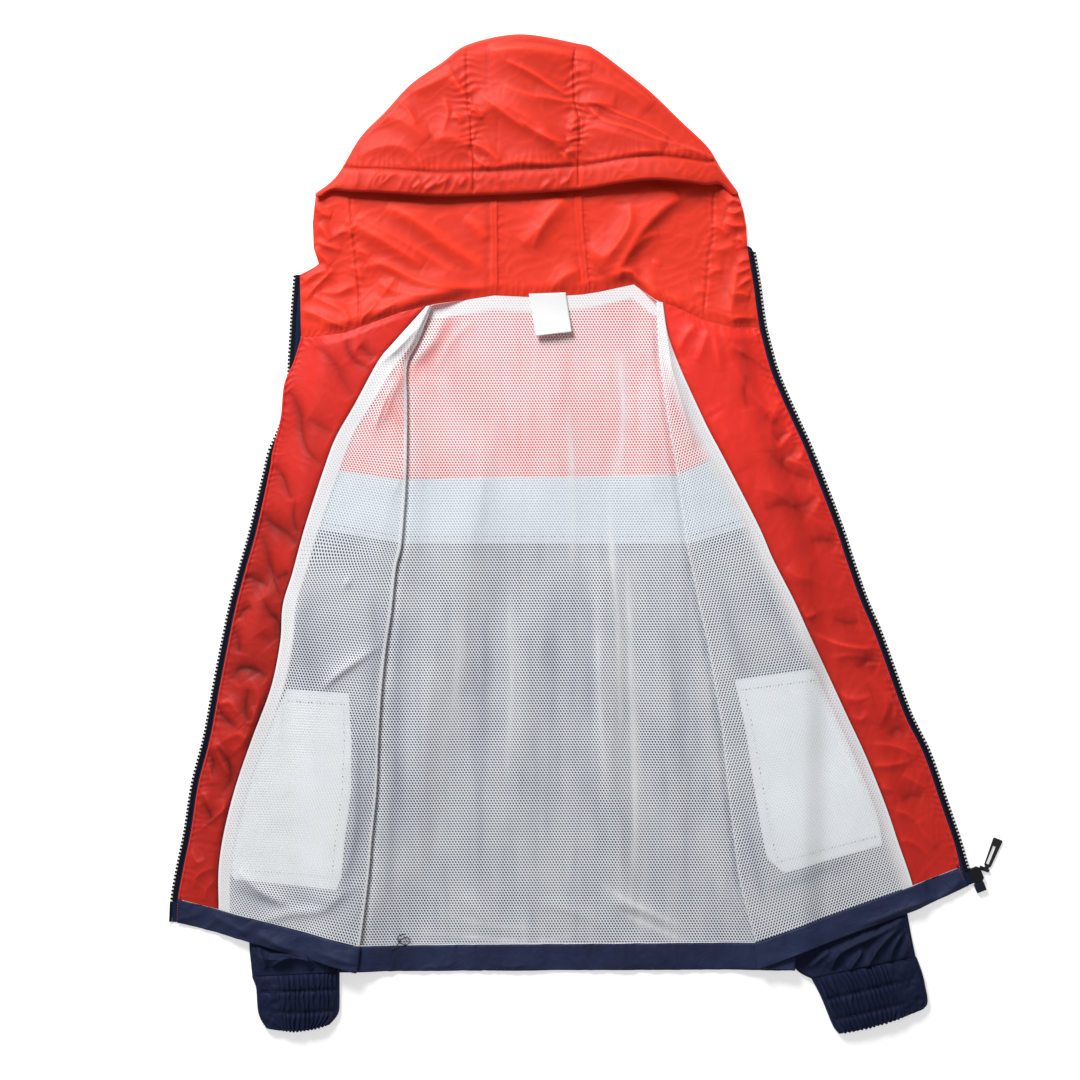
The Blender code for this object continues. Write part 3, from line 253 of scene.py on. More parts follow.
# The first column of the fronts' hem rows on their upper ply.
HEM_UPPER = 24
HEM_END_STITCHES = {"left": ((-438.0, -399), (-439.0, -420)), "right": ((406, -362), (412.5, -378))}
# How far the back's mesh rises to lean on the folded edges of the fronts.
LEAN = 2.6
TACK_LOOP = [
    (-207, -450), (-201, -446), (-197, -440), (-191, -437), (-187, -440), (-190, -445), (-196, -444),
    (-200, -439), (-198, -435), (-192, -434),
]
TACK_ABOVE, TACK_RADIUS = 3.2, 0.5

# ---------------------------------------------------------------- folds

# A fold is a ridge along a path. Its row in a table has how far it falls off towards the light and away
# from it, its height, and the points of its path. TO_LIGHT is the way to the light.
TO_LIGHT = (-0.56, 0.83)
# A fold stands FOLD_GAIN times its height in the tables. Up to SHARP_WIDTH wide it is sharp along the top,
# and from SOFT_WIDTH it is soft.
FOLD_GAIN, SHARP, SOFT, SHARP_WIDTH, SOFT_WIDTH = 1.6, 1.1, 1.5, 8, 20
# The painted shade and highlight of satin for each millimetre that it stands above what lies CREST_REACH
# points around it, and the painted shade for each millimetre of a facing's troughs. Both count up to a most.
CREST_SHADE, CREST_REACH, CREST_MOST = 0.26, 4, 0.9
TROUGH_SHADE, TROUGH_MOST, TROUGH_DEPTH = 0.135, 3.2, 0.9
# How much of their height the folds of each table get.
FACING_FOLD_SHARE = {"left": 0.55, "right": 0.6}
INSIDE_FOLD_SHARE, HOOD_FOLD_SHARE, SLEEVE_FOLD_SHARE = 0.8, 0.85, 1.5

# Gathers square to a seam.
Gathers = namedtuple("Gathers", "reach pitch height seed")
ZIP_GATHERS, SEAM_GATHERS = Gathers(6, 8, 1.7, 41), Gathers(5, 14, 0.6, 43)
NECK_GATHERS, HOOD_NECK_GATHERS = Gathers(7, 8, 1.6, 47), Gathers(7, 8, 1.6, 122)
CROWN_GATHERS, TUNNEL_GATHERS = Gathers(9, 9, 2.6, 111), Gathers(7, 8, 2.2, 113)
WELT_GATHERS = Gathers(4.5, 7.4, 1.6, 91), Gathers(4.5, 7.4, 1.6, 95)
TUNNEL_END_GATHERS = Gathers(6, 9, 1.3, 98)

# Small creases, longer along their angle by stretch.
Creases = namedtuple("Creases", "height size angle stretch seed")
FACING_CREASES = {
    "left": (Creases(0.4, 30, -78, 2.6, 31), Creases(0.2, 12, -53, 2.0, 35)),
    "right": (Creases(0.4, 30, 68, 2.6, 31), Creases(0.2, 12, 93, 2.0, 35)),
}
INSIDE_CREASES = Creases(0.3, 36, -35, 2.4, 81), Creases(0.35, 12, 20, 2.6, 84)
HOOD_CREASES = Creases(0.2, 44, -25, 2.2, 101), Creases(0.25, 13, 40, 2.6, 104)
TUNNEL_CREASES = (Creases(1.3, 11, 62, 2.4, 121),)
SLEEVE_CREASES = (Creases(0.9, 13, 75, 2.4, 131),)

HOOD_TOP_FOLDS = [
    (12, 12, 3, (-187, 476), (-163, 485), (-138, 498)),
    (16, 13, 3.5, (-230, 447), (-204, 448), (-184, 438), (-168, 422)),
    (14, 9, 2.6, (-244, 405), (-224, 415), (-202, 418), (-184, 410), (-169, 392)),
    (14, 13, 3.8, (-163, 423), (-143, 427), (-121, 417)),
    (5, 4, 3, (-141, 493), (-133, 480), (-124, 468)),
    (4, 3, 2.4, (-141, 448), (-135, 448), (-130, 442)),
    (6, 3.5, 3.6, (-123, 456), (-116, 455), (-108, 447)),
    (7, 5, 3.2, (-118, 420), (-103, 413), (-90, 400)),
    (5, 4, 2.4, (-118, 401), (-108, 398), (-98, 391)),
    (5, 3, 1.6, (-120, 390), (-102, 389), (-85, 390)),
    (22, 20, 6.5, (-113, 453), (-90, 461), (-65, 450), (-40, 432), (-17, 413)),
    (20, 30, 6.5, (-104, 523), (-73, 523), (-40, 520), (-9, 513)),
    (3, 9, 2.6, (-12, 462), (-30, 467), (-50, 471), (-68, 476), (-86, 483)),
    (5, 3, 1.6, (-52, 474), (-35, 471), (-10, 463)),
    (14, 13, 3.6, (-5, 493), (26, 486), (56, 471), (72, 456)),
    (12, 3.5, 3, (-4, 465), (16, 464), (36, 461)),
    (3.5, 8, 2.4, (137, 407), (109, 416), (76, 425), (51, 435), (24, 443), (8, 456)),
    (10, 4, 2.2, (0, 461), (10, 456), (16, 448)),
    (14, 20, 4.5, (1, 440), (26, 433), (59, 423), (89, 413)),
    (16, 4, 3, (-100, 394), (-73, 400), (-48, 399), (-17, 393)),
    (7, 5, 2.4, (-48, 435), (-35, 423), (-19, 413)),
    (4, 3, 2.4, (-14, 440), (-9, 445), (-4, 448)),
    (4, 3, 2.4, (-15, 432), (-10, 437), (-4, 438)),
    (4, 3.5, 2.8, (-17, 422), (-10, 425), (-3, 428)),
    (5, 4, 3.2, (-19, 409), (-12, 412), (-2, 413)),
    (4, 4, 2.2, (-25, 410), (-19, 405), (-15, 397)),
    (6, 4, 1.8, (16, 404), (29, 399), (43, 401)),
    (6, 4, 1.8, (46, 400), (59, 405), (76, 407), (86, 400)),
    (6, 4, 1.6, (86, 397), (100, 402), (114, 409)),
    (8, 5, 2, (92, 412), (117, 413), (142, 402)),
    (8, 9, 2.4, (-5, 521), (16, 516), (39, 501)),
    (5, 4, 2, (-10, 499), (-2, 500), (10, 499)),
    (5, 3, 2.4, (-84, 510), (-55, 496), (-30, 480), (-14, 472)),
    (4, 3, 1.8, (-108, 470), (-84, 452), (-62, 436)),
    (4, 3, 1.8, (-70, 446), (-44, 428), (-20, 420)),
    (4, 3, 2.2, (8, 466), (40, 452), (74, 438), (104, 420)),
    (4, 3, 1.6, (10, 452), (44, 438), (70, 428)),
    (4, 3, 1.4, (-206, 470), (-190, 458), (-180, 440)),
    (4, 3, 1.4, (-150, 470), (-146, 452), (-152, 432)),
]
TUNNEL_FOLDS = [
    (3, 2.5, 1.8, (-158, 374), (-146, 382)),
    (3, 2.5, 1.8, (-171, 369), (-158, 379)),
    (3, 2.5, 1.8, (-133, 374), (-126, 384)),
    (3, 2.5, 1.8, (-184, 370), (-174, 379)),
    (3, 2.5, 1.8, (-25, 374), (-15, 382)),
    (3, 2.5, 1.5, (-45, 370), (-35, 380)),
]
INSIDE_FOLDS = [
    (12, 9, 5, (-250, 335), (-234, 326), (-217, 317), (-192, 302), (-171, 289)),
    (5, 6, 2, (-255, 347), (-224, 332), (-189, 313), (-159, 294), (-131, 278)),
    (12, 8, 4.6, (-214, 352), (-191, 344), (-168, 329), (-144, 311), (-103, 286)),
    (10, 6, 2.6, (-128, 341), (-113, 330), (-102, 318)),
    (9, 6, 4.2, (-234, 288), (-219, 291), (-201, 284), (-176, 272), (-143, 266), (-102, 265)),
    (8, 6, 2.4, (-201, 262), (-176, 257), (-135, 260)),
    (9, 3, 6.5, (-226, 228), (-201, 239), (-180, 247), (-140, 256)),
    (5, 3, 3, (-289, 356), (-281, 346), (-272, 342)),
    (5, 3, 2.6, (-287, 333), (-280, 327), (-273, 315)),
    (5, 3, 2.6, (-288, 315), (-275, 310), (-261, 306)),
    (5, 3.5, 3.4, (-290, 309), (-282, 299), (-272, 290)),
    (5, 4, 2.4, (-270, 320), (-259, 326), (-247, 324)),
    (4, 3, 1.8, (-257, 338), (-250, 333), (-247, 327)),
    (4, 3, 1.8, (-247, 304), (-239, 304), (-230, 299)),
    (4, 3, 1.6, (-252, 287), (-244, 284), (-239, 274)),
    (6, 5, 3.2, (-302, 271), (-290, 280), (-275, 285)),
    (6, 5, 3.2, (-302, 251), (-290, 265), (-280, 275), (-269, 286)),
    (7, 6, 3, (-283, 260), (-265, 260), (-254, 265), (-242, 269)),
    (8, 7, 3.6, (-292, 256), (-277, 249), (-260, 241), (-250, 227)),
    (8, 6, 4.2, (-304, 241), (-288, 236), (-268, 226), (-247, 218)),
    (5, 4, 3, (-244, 220), (-235, 235), (-221, 251)),
    (6, 4, 3.4, (-242, 218), (-227, 232), (-201, 249)),
    (6, 5, 2.6, (-219, 256), (-211, 265), (-204, 275)),
    (6, 4, 2, (-221, 272), (-211, 265), (-197, 259)),
    (11, 10, 5, (-55, 308), (-44, 332), (-32, 348), (-19, 362)),
    (9, 8, 3.2, (-36, 263), (-19, 278), (-3, 285)),
    (8, 7, 2.2, (-67, 312), (-54, 323), (-46, 332)),
    (9, 8, 5, (16, 285), (32, 305), (49, 332), (51, 356)),
    (12, 9, 3, (6, 304), (16, 302), (24, 295)),
    (22, 7, 5.5, (106, 365), (92, 356), (68, 334), (49, 308), (29, 272)),
    (7, 7, 3, (42, 290), (54, 307), (68, 319), (83, 324)),
    (6, 5, 4.4, (38, 274), (42, 282), (52, 281), (65, 267), (83, 252)),
    (3, 2.5, 1.4, (75, 293), (80, 292), (84, 289)),
    (5, 4, 4, (149, 374), (158, 372), (165, 367)),
    (5, 4, 4, (156, 356), (163, 360), (170, 356)),
    (5, 4, 4, (156, 348), (164, 346), (173, 350)),
    (6, 4, 4.2, (153, 337), (163, 332), (175, 333)),
    (6, 5, 2.6, (138, 332), (148, 330), (158, 322)),
    (5, 4, 3.4, (166, 318), (173, 316), (176, 308)),
    (5, 3, 2.2, (168, 291), (174, 295), (181, 296)),
    (5, 3, 2.2, (166, 280), (174, 284), (182, 287)),
    (5, 3, 2.4, (166, 265), (174, 271), (183, 277)),
    (7, 7, 3.2, (158, 256), (169, 259), (181, 256)),
    (6, 4, 3, (156, 227), (169, 232), (187, 232)),
    (6, 5, 2.6, (159, 236), (163, 265), (167, 289)),
    (6, 5, 2, (140, 305), (153, 308), (166, 313)),
    (5, 4, 2, (136, 279), (143, 284), (151, 284)),
    (5, 4, 1.8, (121, 260), (130, 262), (136, 256)),
    (8, 6, 3, (85, 239), (97, 234), (121, 232)),
    (5, 4, 2.4, (83, 244), (100, 249), (121, 232)),
    (6, 5, 3, (86, 228), (98, 224), (117, 232)),
]
FACING_FOLDS = [
    (6, 6, 3.4, (100, 193), (111, 213), (124, 228)),
    (5, 5, 3.2, (122, 184), (131, 208), (136, 224)),
    (6, 6, 2.6, (148, 173), (143, 204), (139, 221)),
    (7, 8, 4, (148, 220), (170, 219), (193, 216)),
    (9, 8, 3.4, (157, 204), (183, 189), (205, 173)),
    (10, 9, 3, (161, 186), (174, 160), (192, 138), (209, 129)),
    (12, 8, 3.4, (203, 87), (203, 118), (215, 146)),
    (6, 4, 2.4, (211, 90), (221, 102), (229, 112)),
    (9, 9, 3.4, (218, 80), (236, 74), (252, 63)),
    (5, 4, 2.2, (232, 78), (238, 85), (245, 87)),
    (14, 14, 3.4, (183, 49), (209, 43), (238, 23), (273, -3)),
    (9, 8, 2.8, (249, 19), (256, 34), (262, 45)),
    (16, 12, 2.6, (143, 129), (157, 102), (174, 67)),
    (7, 5, 2.6, (-395, -184), (-382, -183), (-372, -197)),
    (12, 8, 3.6, (-360, -210), (-350, -177), (-360, -156)),
    (8, 6, 3.2, (-405, -226), (-393, -230), (-384, -245)),
    (8, 7, 3, (-391, -226), (-373, -217), (-360, -226)),
    (12, 10, 3, (-391, -182), (-382, -194), (-368, -209)),
    (6, 5, 2.6, (-358, -187), (-353, -199), (-351, -212)),
    (7, 4, 3.4, (-399, -227), (-392, -245), (-382, -263)),
    (5, 4, 2.6, (-407, -250), (-402, -263), (-400, -273)),
    (6, 5, 2.8, (-415, -280), (-407, -286), (-402, -301)),
    (3.5, 3, 2.4, (-413, -320), (-397, -307), (-384, -294), (-375, -275)),
    (8, 6, 3, (-425, -339), (-418, -355), (-407, -352)),
    (12, 8, 2.8, (-391, -286), (-387, -313), (-394, -339)),
    (9, 6, 3, (-421, -385), (-418, -372), (-407, -364), (-396, -362)),
    (8, 6, 2.4, (-409, -399), (-407, -385), (-396, -374)),
    (6, 5, 2, (-379, -238), (-368, -227), (-358, -210)),
    (12, 8, 2.6, (218, -37), (231, -47), (247, -49)),
    (10, 4, 3, (232, -85), (243, -90), (252, -85)),
    (3, 7, 3.6, (251, -110), (272, -119), (295, -124), (315, -125)),
    (8, 5, 2.2, (269, -135), (285, -132), (307, -133)),
    (3, 3, 1.8, (304, -145), (312, -142), (323, -144)),
    (7, 10, 3.2, (276, -175), (295, -180), (313, -175)),
    (14, 5, 3.8, (307, -155), (323, -171), (328, -188), (319, -209)),
    (6, 5, 2.6, (328, -173), (338, -188), (337, -203)),
    (5, 8, 3.2, (312, -228), (335, -230), (351, -236), (361, -244)),
    (8, 5, 2.8, (312, -252), (335, -250), (355, -246)),
    (6, 5, 2, (316, -274), (325, -275), (335, -279)),
    (6, 5, 2.2, (285, -196), (300, -201), (307, -193)),
    (8, 6, 2.4, (345, -261), (356, -267), (371, -277)),
    (7, 5, 2.4, (337, -300), (351, -304), (368, -317)),
    (8, 6, 2.6, (360, -310), (371, -327), (383, -340)),
    (6, 5, 2, (340, -332), (358, -335), (378, -352)),
]
# The creases of the facings that sink between their swells: each is a trough, with its depth as its height.
# Their colour is darkened too, by TROUGH_SHADE: painted shade in the troughs.
FACING_TROUGHS = [
    (8, 10, 3.4, (-320, 154), (-312, 144), (-305, 126), (-303, 106), (-295, 86), (-280, 71)),
    (12, 10, 2.0, (-297, 124), (-285, 116), (-269, 107)),
    (8, 10, 2.0, (-292, 201), (-277, 193), (-264, 176), (-255, 159), (-247, 146)),
    (5, 5, 2.4, (-254, 209), (-252, 196), (-244, 184), (-229, 176)),
    (8, 8, 2.6, (-242, 201), (-234, 196), (-225, 186)),
    (7, 8, 2.8, (-336, 76), (-325, 61), (-319, 47), (-315, 35)),
    (12, 12, 3.6, (-348, 24), (-336, 10), (-320, 0), (-308, -13)),
    (5, 7, 2.4, (-310, 34), (-312, 16), (-308, 0)),
    (7, 7, 2.4, (-349, 0), (-342, -17), (-336, -43), (-330, -62), (-326, -74)),
    (8, 8, 2.2, (-332, -51), (-324, -46), (-316, -43)),
    (10, 10, 2.8, (-366, -46), (-354, -50), (-340, -58)),
    (7, 8, 3.0, (-346, -70), (-338, -86), (-328, -98), (-328, -121)),
    (6, 5, 2.6, (-373, -94), (-367, -84), (-358, -78)),
    (7, 7, 2.4, (-378, -102), (-372, -119), (-373, -131)),
    (10, 10, 3.6, (-381, -161), (-371, -147), (-356, -147), (-340, -157)),
    (12, 12, 1.8, (-348, -106), (-342, -114), (-336, -121)),
    (7, 8, 2.0, (232, 98), (224, 84), (212, 76)),
    (8, 10, 2.2, (252, 40), (240, 30), (226, 28)),
    (8, 10, 2.4, (276, -14), (262, -8), (246, -10)),
    (7, 8, 2.2, (300, -96), (286, -98), (270, -92)),
    (8, 10, 2.4, (322, -142), (308, -138), (296, -148)),
    (8, 10, 2.4, (352, -218), (340, -212), (332, -222)),
    (8, 10, 2.2, (368, -286), (356, -284), (344, -290)),
    (7, 8, 3.4, (-396, -231), (-384, -245), (-381, -265), (-390, -283)),
    (6, 6, 2.4, (-407, -234), (-400, -248), (-401, -265)),
    (8, 7, 2.4, (-396, -185), (-388, -199), (-373, -211)),
    (8, 8, 3.0, (-361, -167), (-364, -188), (-361, -205)),
    (6, 7, 2.6, (-410, -291), (-403, -306), (-406, -318)),
    (8, 9, 2.8, (169, 192), (186, 186), (202, 172)),
    (6, 6, 2.2, (178, 170), (174, 150), (179, 132)),
    (7, 7, 2.4, (209, 98), (216, 106), (223, 108)),
    (9, 10, 3.0, (202, 85), (226, 65), (248, 58)),
    (11, 12, 2.6, (196, 24), (219, 31), (246, 18)),
    (7, 8, 2.2, (196, 128), (205, 118), (212, 122)),
]
LINING_FOLDS = [
    (6, 4, 3.4, (-374, -364), (-351, -385), (-321, -401)),
    (8, 5, 2.4, (-351, -420), (-316, -411), (-283, -407), (-258, -390), (-237, -375)),
    (10, 7, 2.4, (-244, -222), (-246, -280), (-248, -329), (-258, -379)),
    (6, 3, 3.5, (-166, 240), (-187, 185), (-191, 150), (-194, 112)),
    (7, 5, 3, (-178, 222), (-203, 196), (-222, 184)),
    (5, 4, 2.4, (-200, 168), (-214, 140), (-224, 112)),
    (6, 4, 3, (-218, -121), (-240, -136), (-262, -151), (-280, -167)),
    (4, 4, 1.5, (-258, -52), (-250, -56)),
    (8, 8, 2.8, (-180, 190), (-201, 157), (-215, 120)),
    (7, 7, 2.2, (-170, 110), (-188, 75), (-205, 40)),
    (9, 9, 1.8, (-195, -60), (-221, -128), (-235, -200)),
    (9, 9, 1.8, (-215, -180), (-231, -254), (-240, -330)),
    (10, 10, 1.8, (-300, -60), (-320, -144), (-330, -230)),
    (7, 7, 2.8, (88, 235), (94, 178), (92, 120)),
    (7, 7, 2.2, (92, 190), (106, 140), (120, 90)),
    (9, 9, 1.8, (120, -60), (130, -151), (150, -240)),
    (9, 9, 1.8, (150, -180), (166, -279), (172, -380)),
    (10, 10, 1.6, (230, -60), (265, -150), (300, -240)),
]
# Painted shade where the fronts' mesh lies close on the cloth: there it is made more see-through and darker.
# The height is a share from 0 to 1.
CLOSE_MESH_PAINTED_SHADE = [
    (9, 9, 0.9, (-222, 182), (-207, 174), (-193, 164)),
    (7, 7, 0.7, (-221, 155), (-206, 134), (-196, 114)),
    (6, 6, 1.0, (-377, -381), (-352, -394), (-328, -402)),
    (5, 5, 0.8, (-316, -392), (-290, -397), (-266, -398), (-250, -376)),
    (9, 9, 0.9, (-243, -215), (-241, -290), (-247, -345), (-262, -385)),
    (9, 9, 0.7, (-228, -60), (-224, -120), (-232, -170)),
    (16, 16, 0.6, (-290, -60), (-300, -110), (-290, -165)),
    (8, 8, 0.6, (-225, -380), (-240, -405), (-250, -430)),
    (12, 12, 0.7, (196, -30), (215, -80), (240, -130)),
    (10, 10, 0.6, (150, -60), (165, -120), (178, -160)),
    (8, 8, 0.7, (200, -385), (240, -372), (290, -352)),
    (9, 9, 0.6, (300, -160), (322, -200), (340, -250)),
    (7, 7, 0.6, (176, -300), (186, -360), (196, -400)),
]
# Painted highlights on the back's mesh along its folds, where part of a second layer is added, and painted
# shade where it lies close on the cloth and is made more see-through. The height is a share too.
PAINTED_HIGHLIGHT_STREAKS = [
    (3, 4, 0.9, (28, 60), (31, -20), (38, -120), (40, -240)),
    (3, 5, 0.8, (48, -20), (52, -160), (56, -300), (50, -400)),
    (3, 3, 0.6, (14, -60), (18, -180), (26, -280)),
    (4, 4, 0.5, (-16, 150), (-10, 40), (-14, -60)),
    (4, 4, 0.6, (38, 200), (44, 120), (36, 50)),
    (4, 4, 0.7, (36, -408), (70, -424), (118, -444)),
    (4, 4, 0.6, (20, -380), (60, -404), (110, -426)),
    (3, 3, 0.7, (-178, -432), (-120, -437), (-60, -442), (-10, -436)),
    (4, 4, 0.5, (-150, -412), (-100, -424), (-40, -428)),
    (5, 5, 0.5, (-80, -60), (-78, -180), (-86, -300)),
    (5, 5, 0.4, (-140, -40), (-136, -140), (-150, -260)),
]
CLOSE_BACK_PAINTED_SHADE = [
    (5, 6, 1.0, (-138, 234), (-147, 220), (-155, 205), (-167, 190)),
    (8, 9, 1.2, (-158, 200), (-172, 186), (-186, 170), (-192, 160)),
    (8, 8, 0.6, (8, -40), (6, -200), (12, -330)),
    (6, 6, 0.5, (-30, -60), (-34, -200), (-40, -340)),
    (8, 8, 0.5, (90, -40), (98, -160), (120, -300)),
    (9, 9, 0.6, (-196, -60), (-200, -180), (-206, -300), (-216, -400)),
    (8, 8, 0.5, (-104, -80), (-108, -220), (-112, -340)),
]
BACK_FOLDS = [
    (4, 5, 3.4, (-131, 253), (-153, 226), (-165, 204), (-187, 179)),
    (5, 5, 1.5, (-110, 236), (-138, 212), (-160, 176)),
    (12, 12, 3, (30, -20), (25, -221), (52, -420)),
    (10, 10, 1.6, (12, 20), (29, -109), (30, -240)),
    (16, 16, 1.4, (-30, 200), (-20, 130), (-10, 60)),
    (16, 16, 1.6, (-95, 120), (-122, -29), (-130, -180)),
    (14, 14, 1.8, (-150, -60), (-170, -219), (-175, -380)),
    (18, 18, 1.4, (-60, -80), (-62, -206), (-80, -330)),
    (14, 14, 1.8, (95, -80), (95, -205), (110, -330)),
    (12, 12, 1.4, (60, 180), (70, 105), (80, 30)),
    (10, 10, 1.4, (20, 190), (32, 148), (55, 110)),
    (8, 8, 2.4, (30, -400), (76, -412), (110, -445)),
    (7, 7, 1.8, (-170, -430), (-86, -446), (0, -450)),
    (8, 8, 1.4, (-50, -400), (-2, -413), (40, -440)),
    (8, 8, 1.6, (-130, -390), (-110, -418), (-90, -445)),
]
SLEEVE_FOLDS = [
    (5, 6, 3.4, (-354, -455), (-338, -460), (-318, -458), (-296, -461), (-279, -467)),
    (3.5, 4, 2.6, (-336, -468), (-327, -462), (-315, -456)),
    (3.5, 3, 2.2, (-352, -446), (-346, -458), (-340, -470)),
    (4, 3, 2.0, (-300, -452), (-297, -462), (-292, -472)),
    (3.5, 3, 2.0, (-280, -452), (-278, -462), (-275, -474)),
    (5, 4, 3.0, (262, -466), (285, -449), (318, -434), (350, -416)),
    (4, 3.5, 2.8, (287, -473), (295, -461), (302, -451)),
    (3.5, 3, 2.4, (268, -472), (272, -461), (278, -451)),
    (4, 5, 3.4, (304, -473), (320, -447), (345, -423)),
    (3.5, 4, 2.6, (330, -464), (336, -447), (346, -432)),
    (4, 4, 2.2, (244, -470), (256, -460), (268, -451)),
    (3, 3, 2.0, (345, -460), (350, -446), (353, -432)),
]
# Soft folds across the hem bands of the fronts.
HEM_FOLDS = [
    (6, 4, 2.2, (-398, -414), (-380, -424), (-361, -433)),
    (6, 5, 2.6, (-352, -432), (-330, -444), (-306, -452)),
    (6, 4, 2.2, (-284, -452), (-262, -460), (-244, -464)),
    (5, 4, 2.8, (236, -457), (290, -446), (345, -426)),
    (5, 4, 2.4, (300, -424), (345, -407), (384, -393)),
    (4, 3, 2.0, (378, -398), (396, -388), (408, -374)),
]

# ---------------------------------------------------------------- helpers

NOISE_CELLS = 128

# Gathered on the way: the sheets with how each lies, what is sewn to each, and points that stitches follow.
sheets, trims, shared = [], {}, {}


def smooth(t):
    t = np.clip(t, 0.0, 1.0)
    return t * t * (3 - 2 * t)


def unit(v):
    return v / np.linalg.norm(v, axis=-1, keepdims=True)


def through(table, places):
    """Values of a table at fractional rows, on a smooth curve through its rows."""
    places = np.atleast_1d(np.asarray(places, float))
    last = len(table) - 1
    low = np.clip(places.astype(int), 0, last - 1)
    t = (places - low)[:, None]
    before, after = table[np.maximum(low - 1, 0)], table[np.minimum(low + 2, last)]
    a, b = table[low], table[low + 1]
    square, cube = 2 * before - 5 * a + 4 * b - after, 3 * a - before - 3 * b + after
    return 0.5 * (2 * a + (b - before) * t + square * t ** 2 + cube * t ** 3)


def way_along(points, axis=0):
    """Distance along a line or a grid of points, from 0 at its start."""
    steps = np.linalg.norm(np.diff(points, axis=axis), axis=-1)
    return np.insert(np.cumsum(steps, axis), 0, 0, axis)


def at_ways(points, way, places):
    """Points at places along a line of points, each of which is at its own way along it."""
    return np.stack([np.interp(places, way, column) for column in points.T], -1)


def polyline(points, shares):
    """Points at shares of the way along a list of points."""
    points = np.asarray(points, float)
    way = way_along(points)
    return at_ways(points, way, np.asarray(shares) * way[-1])


def by_index(points, shares):
    """Points at shares of the way along a list of points, counted by index."""
    points = np.asarray(points, float)
    last = len(points) - 1
    return at_ways(points, np.arange(last + 1), np.asarray(shares) * last)


def between(a, b, shares):
    """Points from each row of a to the same row of b, at the given shares: rows x shares x axes."""
    shares = np.asarray(shares)[None, :, None]
    return a[:, None, :] * (1 - shares) + b[:, None, :] * shares


def noise(x, y, size, seed):
    """Gradient noise from about -1 to 1, with features of about size millimetres."""
    angles = np.random.default_rng(seed).uniform(0, 2 * math.pi, (NOISE_CELLS, NOISE_CELLS))
    u, v = x / size + NOISE_CELLS / 2, y / size + NOISE_CELLS / 2
    i, j = np.floor(u).astype(int), np.floor(v).astype(int)
    fu, fv = u - i, v - j

    def corner(di, dj):
        angle = angles[(i + di) % NOISE_CELLS, (j + dj) % NOISE_CELLS]
        return np.cos(angle) * (fu - di) + np.sin(angle) * (fv - dj)

    su, sv = smooth(fu), smooth(fv)
    low = corner(0, 0) * (1 - su) + corner(1, 0) * su
    high = corner(0, 1) * (1 - su) + corner(1, 1) * su
    return 1.5 * (low * (1 - sv) + high * sv)


def creased(x, y, layers):
    """Height of layers of small creases at (x, y): sharp wrinkles with soft sides."""
    total = 0
    for height, size, angle, stretch, seed in layers:
        turn, warp = math.radians(angle), 0.6 * size
        a = (x * math.cos(turn) + y * math.sin(turn)) / stretch + warp * noise(x, y, 2.3 * size, seed + 1)
        b = -x * math.sin(turn) + y * math.cos(turn) + warp * noise(x, y, 2.1 * size, seed + 2)
        total = total + height * (1 - np.minimum(np.abs(noise(a, b, size, seed)) * 1.6, 1)) ** 2
    return total


def folded(x, y, folds, gain=FOLD_GAIN):
    """Height of folds at (x, y): each runs along its path and falls off at its own rate on either side."""
    total = np.zeros_like(x)
    for lit, dark, height, *path in folds:
        last = len(path) - 1
        path = through(np.array(path, float), np.linspace(0, last, 6 * last + 1))
        narrow, wide = min(lit, dark), max(lit, dark)
        reach = 2.6 * wide
        near = (x > path[:, 0].min() - reach) & (x < path[:, 0].max() + reach)
        near &= (y > path[:, 1].min() - reach) & (y < path[:, 1].max() + reach)
        at_x, at_y = x[near], y[near]
        away, side, share = np.full(at_x.shape, np.inf), np.zeros(at_x.shape), np.zeros(at_x.shape)
        for index, (start, end) in enumerate(zip(path[:-1], path[1:])):
            run = end - start
            t = np.clip(((at_x - start[0]) * run[0] + (at_y - start[1]) * run[1]) / (run @ run), 0, 1)
            off_x, off_y = at_x - start[0] - t * run[0], at_y - start[1] - t * run[1]
            distance = np.hypot(off_x, off_y)
            closer = distance < away
            away = np.where(closer, distance, away)
            side = np.where(closer, off_x * TO_LIGHT[0] + off_y * TO_LIGHT[1], side)
            share = np.where(closer, (index + t) / (len(path) - 1), share)
        width = dark + (lit - dark) * smooth(0.5 + side / (2 * narrow))
        taper = np.sin(math.pi * np.clip(share, 0.02, 0.98)) ** 0.6
        form = np.interp(wide, (SHARP_WIDTH, SOFT_WIDTH), (SHARP, SOFT))
        total[near] += gain * height * taper * np.exp(-(away / width) ** form)
    return total


def above_around(height, reach):
    """How far each place of a grid of heights is above the mean of its square of reach points around."""
    padded = np.pad(height, reach, mode="edge")
    total = np.zeros_like(height)
    for row in range(2 * reach + 1):
        for column in range(2 * reach + 1):
            total += padded[row:row + height.shape[0], column:column + height.shape[1]]
    return height - total / (2 * reach + 1) ** 2


def crest_shade(height):
    """Painted light and shade: a crest of satin cloth is painted lighter, where it catches the light, and a
    crease darker.
    """
    return CREST_SHADE * np.clip(above_around(height, CREST_REACH), -CREST_MOST, CREST_MOST)


def puckers(distance, along, gathers):
    """Height of gathers at a seam: distance is from the seam, along runs with it."""
    reach, pitch, height, seed = gathers
    wander = along + 1.2 * pitch * noise(along, distance, 3 * pitch, seed)
    wave = (0.5 + 0.5 * np.cos(2 * math.pi * wander / pitch)) ** 2
    strength = 0.55 + 0.6 * noise(along, 0 * along, 5 * pitch, seed + 3)
    return height * np.clip(strength, 0.05, 1.2) * wave * np.exp(-np.abs(distance) / reach)


def ridge(distance, half_width):
    """1 on a line and falling to 0 away from it."""
    return np.exp(-(distance / half_width) ** 2)


def plateau(distance, first, last):
    """1 between two distances, with soft edges."""
    return smooth(distance - first) * smooth(last - distance)


def rising(points):
    """Points as rows of y and x, by rising y."""
    return np.array(sorted((y, x) for x, y in points))


